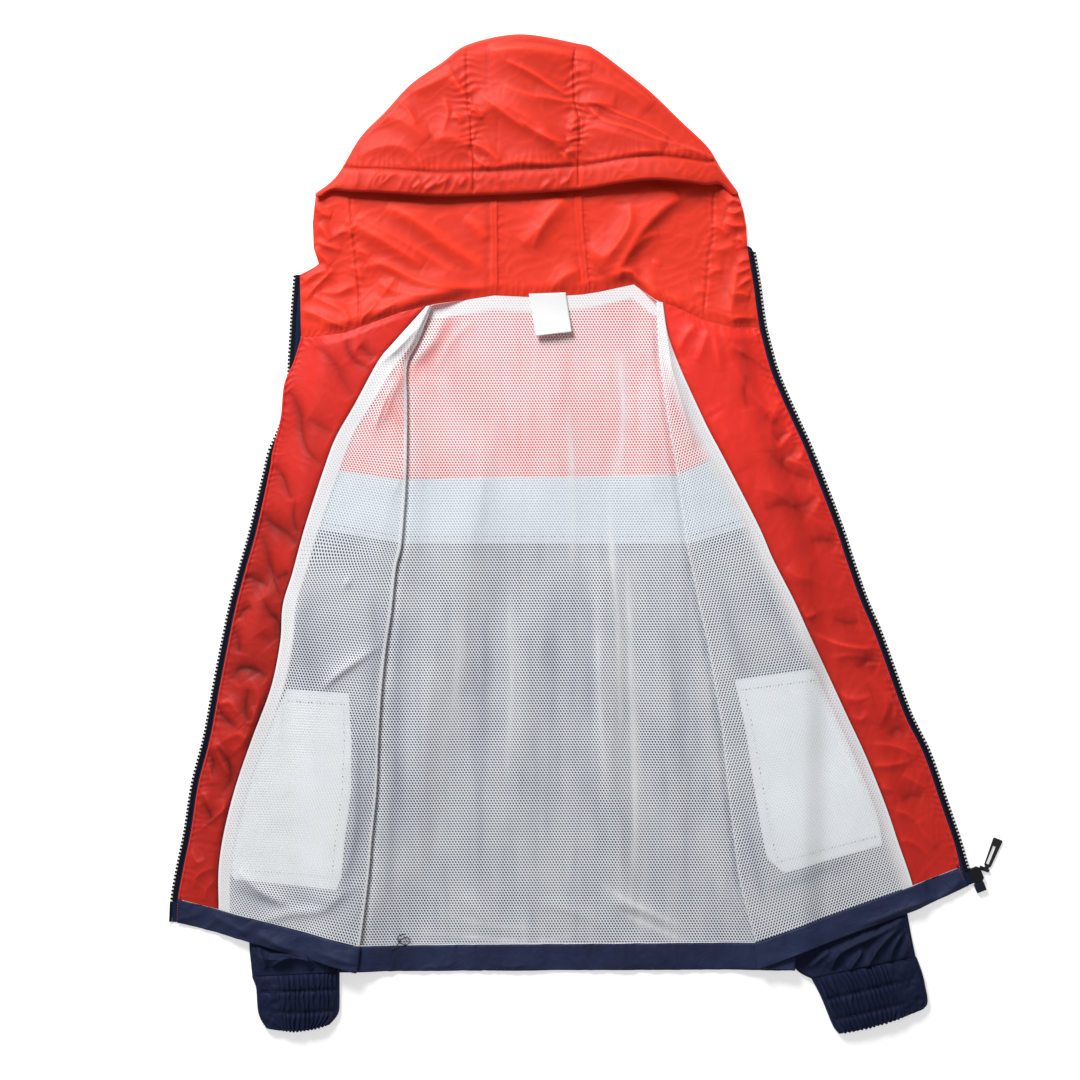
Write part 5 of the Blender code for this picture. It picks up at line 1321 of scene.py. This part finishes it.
def make_back_lining():
    places = spaced_places(NECK, HEM_TOP, 3.2, FRONT_LEFT)
    across = np.linspace(0, 1, 170)
    xy = back_xy(places, across, inset=0.5)
    x, y = xy[:, :, 0], xy[:, :, 1]
    open_part = smooth((x + 235) / 40) * smooth((200 - x) / 40)
    ripple = folded(x, y, BACK_FOLDS) + 0.5 * noise(x, y, 60, 72) + 0.35 * noise(x, 0.3 * y, 24, 73)
    stations = places[:, None] + 0 * x
    free = smooth(stations / 1.2) * smooth((HEM_TOP - stations) / 0.8)
    z = Z_BACK_LINING + lift(x, y) + np.clip(ripple + 0.4, -0.4, 4) * open_part * free
    z = z + LEAN * beside_folds(x, y) * free
    top_edge = back_xy(np.array([0.0]), across, inset=0.5)[0]
    from_neck = np.linalg.norm(xy - top_edge[None], axis=2)
    at_neck = (x > -165) & (x < 85)
    doubled = (np.clip((17 - from_neck) / 1.5, 0, 1) + np.clip(3 - from_neck, 0, 1)) * at_neck
    # Painted highlights and shade on the back's mesh: light and dark streaks along its soft folds.
    painted_streaks = 0.24 * noise(x, 0.13 * y, 15, 77) + 0.26 * noise(x, 0.12 * y, 6, 78)
    painted_streaks = painted_streaks + folded(x, y, PAINTED_HIGHLIGHT_STREAKS, gain=1.5) - np.minimum(folded(x, y, CLOSE_BACK_PAINTED_SHADE, gain=1), 1)
    marks = {"doubled": np.where(doubled > 0, doubled, np.clip(painted_streaks, -0.9, 1.0))}
    points = raised(xy, z)
    dress("back_lining", points, mesh_cloth, "laid", "back_lower_cloth", uv=xy * MM, marks=marks)


# ---------------------------------------------------------------- hood


def hood_path(u, shares):
    """The hood's inside from neck to crown, at column u."""
    low = min(int(u), len(HOOD) - 2)
    t = u - low
    a, b = (
        polyline([HOOD[k, ON_NECK], *HOOD_BENDS.get(k, []), HOOD[k, ON_CROWN]], shares)
        for k in (low, low + 1)
    )
    return a * (1 - t) + b * t


def hood_neck_z(x, y, u):
    """Height of the neck seam at column u: on the turned-out fronts at both ends, and on the back between."""
    on_front = np.maximum(1 - smooth((u - 5) / 0.6), smooth((u - 10.2) / 0.8))
    return Z_BACK + NECK_ABOVE + on_front * (front_z(x, y) - Z_BACK)


def inside_relief(x, y):
    """The hood's inside: its folds, the felled seams and the stitched end of the tunnel on each side."""
    left, right = np.interp(y, *WELT_LEFT), np.interp(y, *WELT_RIGHT)
    welts = 1.5 * plateau(x - left, -WELT_WIDTH, 0) + 1.5 * plateau(x - right, 0, WELT_WIDTH)
    past_left, past_right = x - left, x - right - WELT_WIDTH
    notches = 0
    for past, gathers in zip((past_left, past_right), WELT_GATHERS):
        notches = notches + puckers(past, y, gathers) * (past > 0)
    at_welt = ridge(np.minimum(abs(past_left + 4), abs(past_right + 4)), 5)
    folds = INSIDE_FOLD_SHARE * folded(x, y, INSIDE_FOLDS) * (1 - 0.8 * at_welt)
    seams = 0
    for line in (TUNNEL_END_LEFT, TUNNEL_END_RIGHT):
        away = x - np.interp(y, *line)
        seams = seams - 1.2 * ridge(away, 1.3) + puckers(away, y, TUNNEL_END_GATHERS)
    return 1.4 + welts + notches + folds + creased(x, y, INSIDE_CREASES) + seams


def top_relief(x, y, from_front, scallops):
    """The hood's outside: its folds, the crown seams with their puckers, and the tunnel at the front edge."""
    left, right = x - np.interp(y, *CROWN_SEAM_LEFT), x - np.interp(y, *CROWN_SEAM_RIGHT)
    nearest = np.where(np.abs(left) < np.abs(right), left, right)
    body = smooth((from_front - TUNNEL_WIDTH + 2) / 8)
    folds = HOOD_FOLD_SHARE * folded(x, y, HOOD_TOP_FOLDS)
    small = creased(x, y, HOOD_CREASES)
    gathers = puckers(nearest, y, CROWN_GATHERS) + puckers(from_front - TUNNEL_WIDTH, x, TUNNEL_GATHERS)
    groove = -1.3 * ridge(nearest, 1.3) * (from_front > 4)
    stitched = -0.8 * ridge(from_front - TUNNEL_WIDTH, 1.4)
    across_tunnel = np.minimum(from_front / TUNNEL_WIDTH, 1)
    in_tunnel = 1 - np.abs(2 * across_tunnel - 1) ** 4
    ripples = folded(x, y, TUNNEL_FOLDS) + scallops * creased(x, y, TUNNEL_CREASES)
    return body * (folds + small + gathers) + groove + stitched + in_tunnel * (1.8 + ripples)


def hood_rows(places):
    """Rows by column: inside ply, crown fold and outside ply down to the tunnel's edge."""
    inside_shares, top_shares = np.linspace(0, 1, 130), np.linspace(0, 1, TOP_STEPS)
    table = through(HOOD, places)
    over, edge, rise = table[:, ON_CROWN], table[:, ON_FRONT], table[:, RISE]
    path = np.array([hood_path(u, inside_shares) for u in places])
    out = unit(path[:, -1] - path[:, -10])
    path = path + (over - path[:, -1])[:, None] * inside_shares[None, :, None] ** 2
    centre = over - (HOOD_TURN + 0.5) * out
    path = path + (centre - over)[:, None] * inside_shares[None, :, None]
    x, y = path[:, :, 0], path[:, :, 1]
    from_neck = inside_shares[None, :] * np.linalg.norm(over - path[:, 0], axis=1)[:, None]
    neck_z = hood_neck_z(x[:, :1], y[:, :1], places[:, None])
    z = Z_BACK + (neck_z - Z_BACK) * (1 - smooth(from_neck / HOOD_NECK_FALL))
    shown = smooth((edge[:, 1:] + 2 - y) / 12) * smooth(from_neck / NECK_SOFT)
    gathers = puckers(from_neck, x, HOOD_NECK_GATHERS) * smooth(from_neck / 3)
    inside = raised(path, z + np.maximum(shown * inside_relief(x, y), 0) + gathers + 0.2)
    angle = np.linspace(-math.pi / 2, math.pi / 2, 9)[1:-1]
    turn_xy = centre[:, None] + out[:, None] * HOOD_TURN * np.cos(angle)[None, :, None]
    turn = raised(turn_xy, Z_BACK + HOOD_TURN * (1 + np.sin(angle)[None, :]))
    top = between(centre, edge, top_shares)
    from_front = (1 - top_shares)[None, :] * np.linalg.norm(edge - centre, axis=1)[:, None]
    crown_z = Z_BACK + 2 * HOOD_TURN
    relief = top_relief(top[:, :, 0], top[:, :, 1], from_front, np.interp(places, *SCALLOPS)[:, None])
    relief = relief * smooth(top_shares * 12)
    z = crown_z + (rise - crown_z) * smooth(top_shares) + relief - 1.6 * smooth(1 - from_front / 2.5)
    return np.concatenate([inside, turn, raised(top, z)], 1)


def make_hood():
    first_seam, last_seam = HOOD_SEAMS
    spans = (
        ("left", 0, first_seam, 150, 0.08),
        ("centre", first_seam, last_seam, 90, 0.08),
        ("right", last_seam, len(HOOD) - 1, 140, 0),
    )
    for name, first, last, count, tunnel_painted_shade in spans:
        points = hood_rows(np.linspace(first, last, count))
        from_edge = np.arange(points.shape[1])[::-1] / TOP_STEPS
        # Painted shade: the outer ply darker than the inside, the tunnel darker still on the left and in the
        # middle, and painted highlights and shade on crests and creases.
        shade = -0.13 * smooth((1.05 - from_edge) / 0.1) - tunnel_painted_shade * smooth((0.2 - from_edge) / 0.05)
        marks = {"shade": HOOD_SHADE + shade + crest_shade(points[:, :, 2])}
        dress(f"hood_{name}", points, red_cloth, "folded", "back_yoke_cloth", marks=marks)
        shared[f"hood_{name}"] = points


# ---------------------------------------------------------------- sleeves and cuffs


def ring_rows(table, places, steps, wall):
    """Flattened rings on the surface, as the middle of cloth with that wall, and which points are on top."""
    top_steps, end_steps, bottom_steps = steps
    share, low = np.linspace(0, 1, top_steps + 1), np.linspace(0, 1, bottom_steps + 1)
    turn = math.pi * np.arange(1, end_steps) / end_steps
    rings = []
    for row in through(table, places):
        outer, inner, height = row[OUTER], row[INNER], row[HEIGHT] - wall
        bow = row[BOW] if len(row) > BOW else 0.0
        across = unit(inner - outer)
        hand = np.array([across[1], -across[0]])
        hand = hand if hand[1] < 0 else -hand
        width = np.linalg.norm(inner - outer)
        end = min(height / 2, RING_END_RADIUS)
        crown = height / 2 - end
        last = width - end
        distance = np.concatenate([
            end + (last - end) * share, last + end * np.sin(turn),
            last + (end - last) * low, end - end * np.sin(turn),
        ])
        z = np.concatenate([
            2 * end + 2 * crown * np.sin(math.pi * share) ** 0.6, end + end * np.cos(turn),
            np.zeros(bottom_steps + 1), end - end * np.cos(turn),
        ])
        sag = bow * np.sin(math.pi * np.clip(distance / width, 0, 1))
        xy = outer + across * distance[:, None] + hand * sag[:, None]
        rings.append(np.column_stack([xy, z + wall / 2]))
    on_top = np.zeros(len(distance), bool)
    on_top[1:top_steps] = True
    return np.array(rings), on_top


def make_sleeve(side, table):
    last = len(table) - 1
    places = np.concatenate([np.linspace(0, last - 4, 60), np.linspace(last - 4, last, 90)[1:]])
    points, on_top = ring_rows(table, places, SLEEVE_STEPS, SLEEVE_WALL)
    x, y = points[:, :, 0], points[:, :, 1]
    near_cuff = smooth((places - (last - 2.6)) / 0.6)[:, None]
    to_end = smooth((last - places) / 0.25)[:, None]
    folds = SLEEVE_FOLD_SHARE * folded(x, y, SLEEVE_FOLDS) + creased(x, y, SLEEVE_CREASES) + 0.6
    points[:, :, 2] += on_top[None, :] * near_cuff * to_end * np.maximum(folds, 0)
    dress(f"sleeve_{side}", points, navy_cloth, "folded", "floor", ring=True)


def make_cuff(side, table, seed):
    """A shirred cuff: ribs drawn in along the rows of elastic, and plain cloth towards its outer end."""
    places = np.linspace(0, len(table) - 1, CUFF_ROWS)
    points, on_top = ring_rows(table, places, CUFF_STEPS, CUFF_WALL)
    top_steps = CUFF_STEPS[0]
    share = np.zeros(points.shape[1])
    share[:top_steps + 1] = np.linspace(0, 1, top_steps + 1)
    length = (places / (len(table) - 1))[:, None]
    widest = table[3]
    distance = share[None, :] * np.linalg.norm(widest[OUTER] - widest[INNER]) + 0 * length
    drawn = sum(ridge(length - row, 0.05) for row in DRAWN_ROWS) + ridge(length, 0.06)
    wander = distance + 3.0 * noise(distance, length * 30, 16, seed)
    wander = wander + 1.6 * noise(distance, length * 40, 7, seed + 1)
    uneven = 1.0 + 0.7 * noise(distance, length * 26, 11, seed + 3)
    wave = 0.5 + 0.5 * np.cos(2 * math.pi * wander / RIB_PITCH)
    shirred = smooth((share[None, :] - SHIRRED_FROM) / 0.14)
    creases = 1.5 * noise(distance, length * 55, 13, seed + 2)
    creases = creases + 0.8 * noise(distance, length * 55, 5, seed + 4)
    flat = (creases - 0.7 * drawn) * (1 - shirred)
    ribs = shirred * (2.5 * uneven * wave ** 0.9 * (1 - 0.5 * drawn) - 1.1 * drawn)
    points[:, :, 2] += on_top[None, :] * (ribs + flat)
    ripple = 0.7 * np.sin(2 * math.pi * distance / RIB_PITCH) * shirred * smooth((length - 0.9) / 0.1)
    points[:, :, 1] += on_top[None, :] * ripple
    dress(f"cuff_{side}", points, navy_cloth, "gathered", "floor", ring=True, thickness=0.9)
    shared[f"cuff_{side}"] = points


# ---------------------------------------------------------------- stitches


def stitches(name, line, mat, length=2.2, pitch=3.0, width=0.5, height=0.35):
    """A row of thread stitches on a line of points that lies on the cloth."""
    line = np.asarray(line, float)
    way = way_along(line)
    sides = 6
    angles = np.linspace(0, 2 * math.pi, sides, endpoint=False)
    verts, faces = [], []
    for start in np.arange(pitch / 2, way[-1] - pitch, pitch):
        ends = at_ways(line, way, start + length * np.array((0, 0.5, 1)))
        run = unit(ends[2] - ends[0])
        side = unit(np.cross((0, 0, 1), run))
        up = np.cross(run, side)
        base = len(verts)
        for point, wide, high in zip(ends, (0.4, 1.0, 0.4), (0.0, 1.0, 0.0)):
            for angle in angles:
                flat, tall = math.cos(angle) * width / 2 * wide, math.sin(angle) * height / 2 * max(wide, 0.5)
                verts.append(point + side * flat + up * (tall + 0.12 + height * 0.5 * high))
        for first in (base, base + sides):
            for k in range(sides):
                a, b = first + k, first + (k + 1) % sides
                faces.append((a, b, b + sides, a + sides))
        faces.append(tuple(base + k for k in reversed(range(sides))))
        faces.append(tuple(base + 2 * sides + k for k in range(sides)))
    obj = new_mesh(name, np.array(verts), faces, mat)
    obj.data.shade_smooth()


def make_tunnel_stitches():
    """The seam of the hood's tunnel, on the outside ply at the tunnel's width from the front edge."""
    line = []
    for name in ("left", "centre", "right"):
        for row in shared[f"hood_{name}"][::2]:
            from_edge = row[:-TOP_STEPS - 1:-1]
            away = np.linalg.norm(from_edge[:, :2] - row[-1, :2], axis=1)
            if away[-1] > TUNNEL_WIDTH + 2:
                line.append(at_ways(from_edge, away, TUNNEL_WIDTH))
    stitches("tunnel_stitches", line, red_thread)


def make_stitches():
    make_tunnel_stitches()
    band = {"length": 2.8, "pitch": 4.6, "width": 1.0}
    top_steps = CUFF_STEPS[0]
    for side, front in (("left", FRONT_LEFT), ("right", FRONT_RIGHT)):
        for index, share in enumerate(DRAWN_ROWS):
            row = shared[f"cuff_{side}"][int(share * (CUFF_ROWS - 1))]
            line = row[int(top_steps * 0.03):int(top_steps * 0.97)] + (0, 0, CUFF_WALL / 2)
            stitches(f"cuff_{side}_stitches_{index + 1}", line, navy_thread, length=1.8, pitch=2.6)
        row = lining_xy(front, np.array([BAND_STITCHES_AT]), np.linspace(0.03, 0.97, 60))[0]
        line = np.column_stack([row, front_z(row[:, 0], row[:, 1]) + 0.5])
        stitches(f"band_{side}_stitches", line, blue_thread, **band)
        ends = polyline(HEM_END_STITCHES[side], np.linspace(0, 1, 12))
        hem = shared[f"hem_{side}"].reshape(-1, 3)
        nearest = np.linalg.norm(hem[None, :, :2] - ends[:, None], axis=2).argmin(1)
        line = np.column_stack([ends, hem[nearest, 2] + HEM_HALF_WALL])
        stitches(f"hem_{side}_end_stitches", line, red_thread, length=2.0, pitch=2.8, width=0.7)
    row = back_xy(np.array([BAND_STITCHES_AT]), np.linspace(0.2, 0.9, 160))[0]
    line = np.column_stack([row, Z_BACK + lift(row[:, 0], row[:, 1]) + 0.5])
    stitches("band_back_stitches", line, blue_thread, **band)


def make_tack():
    """The loop of navy thread that tacks the back's mesh to its hem."""
    path = through(np.array(TACK_LOOP, float), np.linspace(0, len(TACK_LOOP) - 1, 60))
    path = np.column_stack([path, Z_BACK_LINING + lift(path[:, 0], path[:, 1]) + TACK_ABOVE])
    run = unit(np.gradient(path, axis=0))
    side = unit(np.cross((0, 0, 1), run))
    up = np.cross(run, side)
    angles = np.linspace(0, 2 * math.pi, 9)[:-1]
    rings = [path + TACK_RADIUS * (side * math.cos(angle) + up * math.sin(angle)) for angle in angles]
    grid_object("back_lining_tack", np.stack(rings, 1), navy_thread, ring=True)


# ---------------------------------------------------------------- zip


def zip_line(side, step):
    """Points up the zip edge from hem to top end about step apart, the ways out and on, and the height."""
    front, top = ZIPS[side]
    below = front[front[:, AT_ZIP][:, 1] < top[0][1] - 5][::-1, AT_ZIP]
    control = np.array([*below, *top], float)
    fine = through(control, np.linspace(0, len(control) - 1, 30 * len(control)))
    way = way_along(fine)
    line = at_ways(fine, way, np.arange(0, way[-1], step))
    run = unit(np.gradient(line, axis=0))
    sign = -1 if side == "left" else 1
    z = CHAIN_HEIGHT / 2 + front_z(line[:, 0], line[:, 1]) - Z_BACK
    if side == "right":
        away = np.linalg.norm(line - np.array(SLIDER_AT, float), axis=1)
        z = z + SLIDER_LIFT * (1 - smooth((away - 20) / SLIDER_LIFT_LENGTH))
    return line, sign * np.stack([run[:, 1], -run[:, 0]], 1), run, z


def tooth():
    """One moulded tooth: along the chain, outwards and up, from its clamp on the tape to its head."""
    half = [(1.95, -2.3), (1.95, 1.7), (1.0, 2.0), (1.0, 2.7), (1.2, 3.1), (1.1, 3.7), (0.6, 4.1)]
    outline = np.array([(-half[0][0], half[0][1]), *half, *((-a, b) for a, b in half[:0:-1])])
    count, waist = len(outline), 1.6
    layers = []
    for z, wide, long in ((-1.25, 0.82, 0.92), (-0.9, 1, 1), (0.9, 1, 1), (1.25, 0.82, 0.92)):
        layers.append(np.column_stack([
            outline[:, 0] * wide, waist + (outline[:, 1] - waist) * long, np.full(count, z),
        ]))
    faces = [tuple(reversed(range(count))), tuple(3 * count + k for k in range(count))]
    for layer in range(3):
        for k in range(count):
            a, b = layer * count + k, layer * count + (k + 1) % count
            faces.append((a, b, b + count, a + count))
    return np.concatenate(layers), faces


def make_tape(side):
    line, out, _, z = zip_line(side, TAPE_STEP)
    offsets = np.array(TAPE_COLUMNS)
    along = np.arange(len(line)) * TAPE_STEP
    past_round = ((TAPE_END_RADIUS - along[::-1]) / TAPE_END_RADIUS).clip(0, 1)
    rounding = np.sqrt(np.clip(1 - past_round ** 2, 0.02, 1))
    spread = np.where(offsets[None, :] > 0, offsets[None, :] * rounding[:, None], offsets[None, :])
    xy = line[:, None, :] + out[:, None, :] * (SEAM + spread)[:, :, None]
    cord = 0.35 * ridge(offsets - 4.6, 0.7) - 0.55 * smooth(-offsets / 1.5)
    waves = 0.25 * noise(along[:, None] + 0 * offsets, offsets[None, :] + 0 * z[:, None], 16, 161)
    points = raised(xy, z[:, None] + cord[None, :] + waves)
    dress(f"zip_tape_{side}", points, tape_cloth, "laid", "floor", thickness=0.7)


def make_teeth(side):
    template, template_faces = tooth()
    line, out, run, z = zip_line(side, TOOTH_PITCH)
    at_hem, at_top = TOOTHLESS[side]
    verts, faces = [], []
    for index, (place, outward, forward, height) in enumerate(zip(line, out, run, z)):
        at_slider = side == "right" and np.linalg.norm(place + outward * 6 - SLIDER_AT) < SLIDER_CLEAR
        if index * TOOTH_PITCH < at_hem or (len(line) - index) * TOOTH_PITCH < at_top or at_slider:
            continue
        start = len(verts)
        for a, b, c in template:
            xy = place + forward * a + outward * (SEAM + TAPE_WIDTH - 0.9 + b)
            verts.append((*xy, height + c))
        faces += [tuple(start + k for k in face) for face in template_faces]
    obj = new_mesh(f"zip_teeth_{side}", np.array(verts), faces, tooth_plastic)
    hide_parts(f"zip_chain_{side}")


def dress_cad():
    """The zip's metal, plastic and rubber parts stay as the solids, with their edges softened."""
    for node, mat in (
        ("zip_slider", black_metal),
        ("zip_box", box_plastic),
        ("zip_pin", tooth_plastic),
        ("pull_tab", black_rubber),
    ):
        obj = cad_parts[node]
        obj.data.materials.clear()
        obj.data.materials.append(mat)
        soft = obj.modifiers.new("soft_edges", "BEVEL")
        soft.width = 0.35 * MM
        soft.segments = 2
        soft.limit_method = "ANGLE"
        soft.angle_limit = math.radians(35)


# ---------------------------------------------------------------- label


def make_label():
    """A woven label sewn into the neck seam, left blank."""
    top_left, top_right, bottom_left, bottom_right = np.array(LABEL, float)
    t, shares = np.linspace(0, 1, 30)[:, None], np.linspace(0, 1, 24)
    xy = between(top_left + (bottom_left - top_left) * t, top_right + (bottom_right - top_right) * t, shares)
    off_lining = 1.5 + 5.5 * t ** 2.5 + 0.8 * t * np.sin(shares * 4.0)[None, :]
    z = Z_BACK_LINING + lift(xy[:, :, 0], xy[:, :, 1]) + off_lining
    points = raised(xy - np.array((0, SEAM)), z)
    dress("neck_label", points, label_cloth, "hung", "back_lining_cloth", thickness=0.35)


# ---------------------------------------------------------------- surroundings

# Metres. The camera is square above the jacket and frames WIDE_VIEW at the height of its cloth.
CAMERA_AT, WIDE_VIEW, CLOTH_HEIGHT, SENSOR = (-0.04644, -0.00756, 3.2), 1.1664, 0.008, 36
LAMPS = (
    # name, place, size, watts
    ("key", (-1.2, 2.3, 1.85), 1.2, 118),
    ("fill", (0.6, -1.6, 2.6), 2.4, 4),
)
LAMPS_AIM, SKY, FLOOR_SIZE = (-0.05, 0.0, 0.0), 0.24, 12


def make_stage():
    bpy.ops.mesh.primitive_plane_add(size=FLOOR_SIZE, location=(0, 0, 0))
    floor = bpy.context.object
    floor.name = "floor"
    mat, tree, shader = new_material("white_floor")
    fill(tree, shader, {
        "Base Color": (0.93, 0.93, 0.93, 1),
        "Roughness": 0.9,
        "Specular IOR Level": 0.1,
        "Emission Color": (1, 1, 1, 1),
        "Emission Strength": 0.5,
    })
    floor.data.materials.append(mat)
    scene = bpy.context.scene
    scene.world = bpy.data.worlds.new("studio")
    scene.world.use_nodes = True
    tree = scene.world.node_tree
    fill(tree, tree.nodes["Background"], {"Color": (1, 1, 1, 1), "Strength": SKY})
    for name, place, size, watts in LAMPS:
        light = bpy.data.lights.new(name, "AREA")
        light.shape = "SQUARE"
        light.size = size
        light.energy = watts
        lamp = bpy.data.objects.new(name, light)
        lamp.location = place
        aim = np.array(LAMPS_AIM) - np.array(place)
        lamp.rotation_euler = Vector(aim).to_track_quat("-Z", "Y").to_euler()
        scene.collection.objects.link(lamp)
    camera = bpy.data.cameras.new("camera")
    camera.sensor_width = SENSOR
    camera.lens = SENSOR * (CAMERA_AT[2] - CLOTH_HEIGHT) / WIDE_VIEW
    camera.clip_end = 30
    eye = bpy.data.objects.new("camera", camera)
    eye.location = CAMERA_AT
    scene.collection.objects.link(eye)
    scene.camera = eye
    scene.view_settings.view_transform = "Standard"
    scene.cycles.transparent_max_bounces = 16


make_back()
make_front("left", FRONT_LEFT)
make_front("right", FRONT_RIGHT)
make_hood()
make_sleeve("left", SLEEVE_LEFT)
make_sleeve("right", SLEEVE_RIGHT)
make_cuff("left", CUFF_LEFT, 141)
make_cuff("right", CUFF_RIGHT, 151)
make_stitches()
make_tack()
for side in ZIPS:
    make_tape(side)
    make_teeth(side)
dress_cad()
make_label()
make_stage()
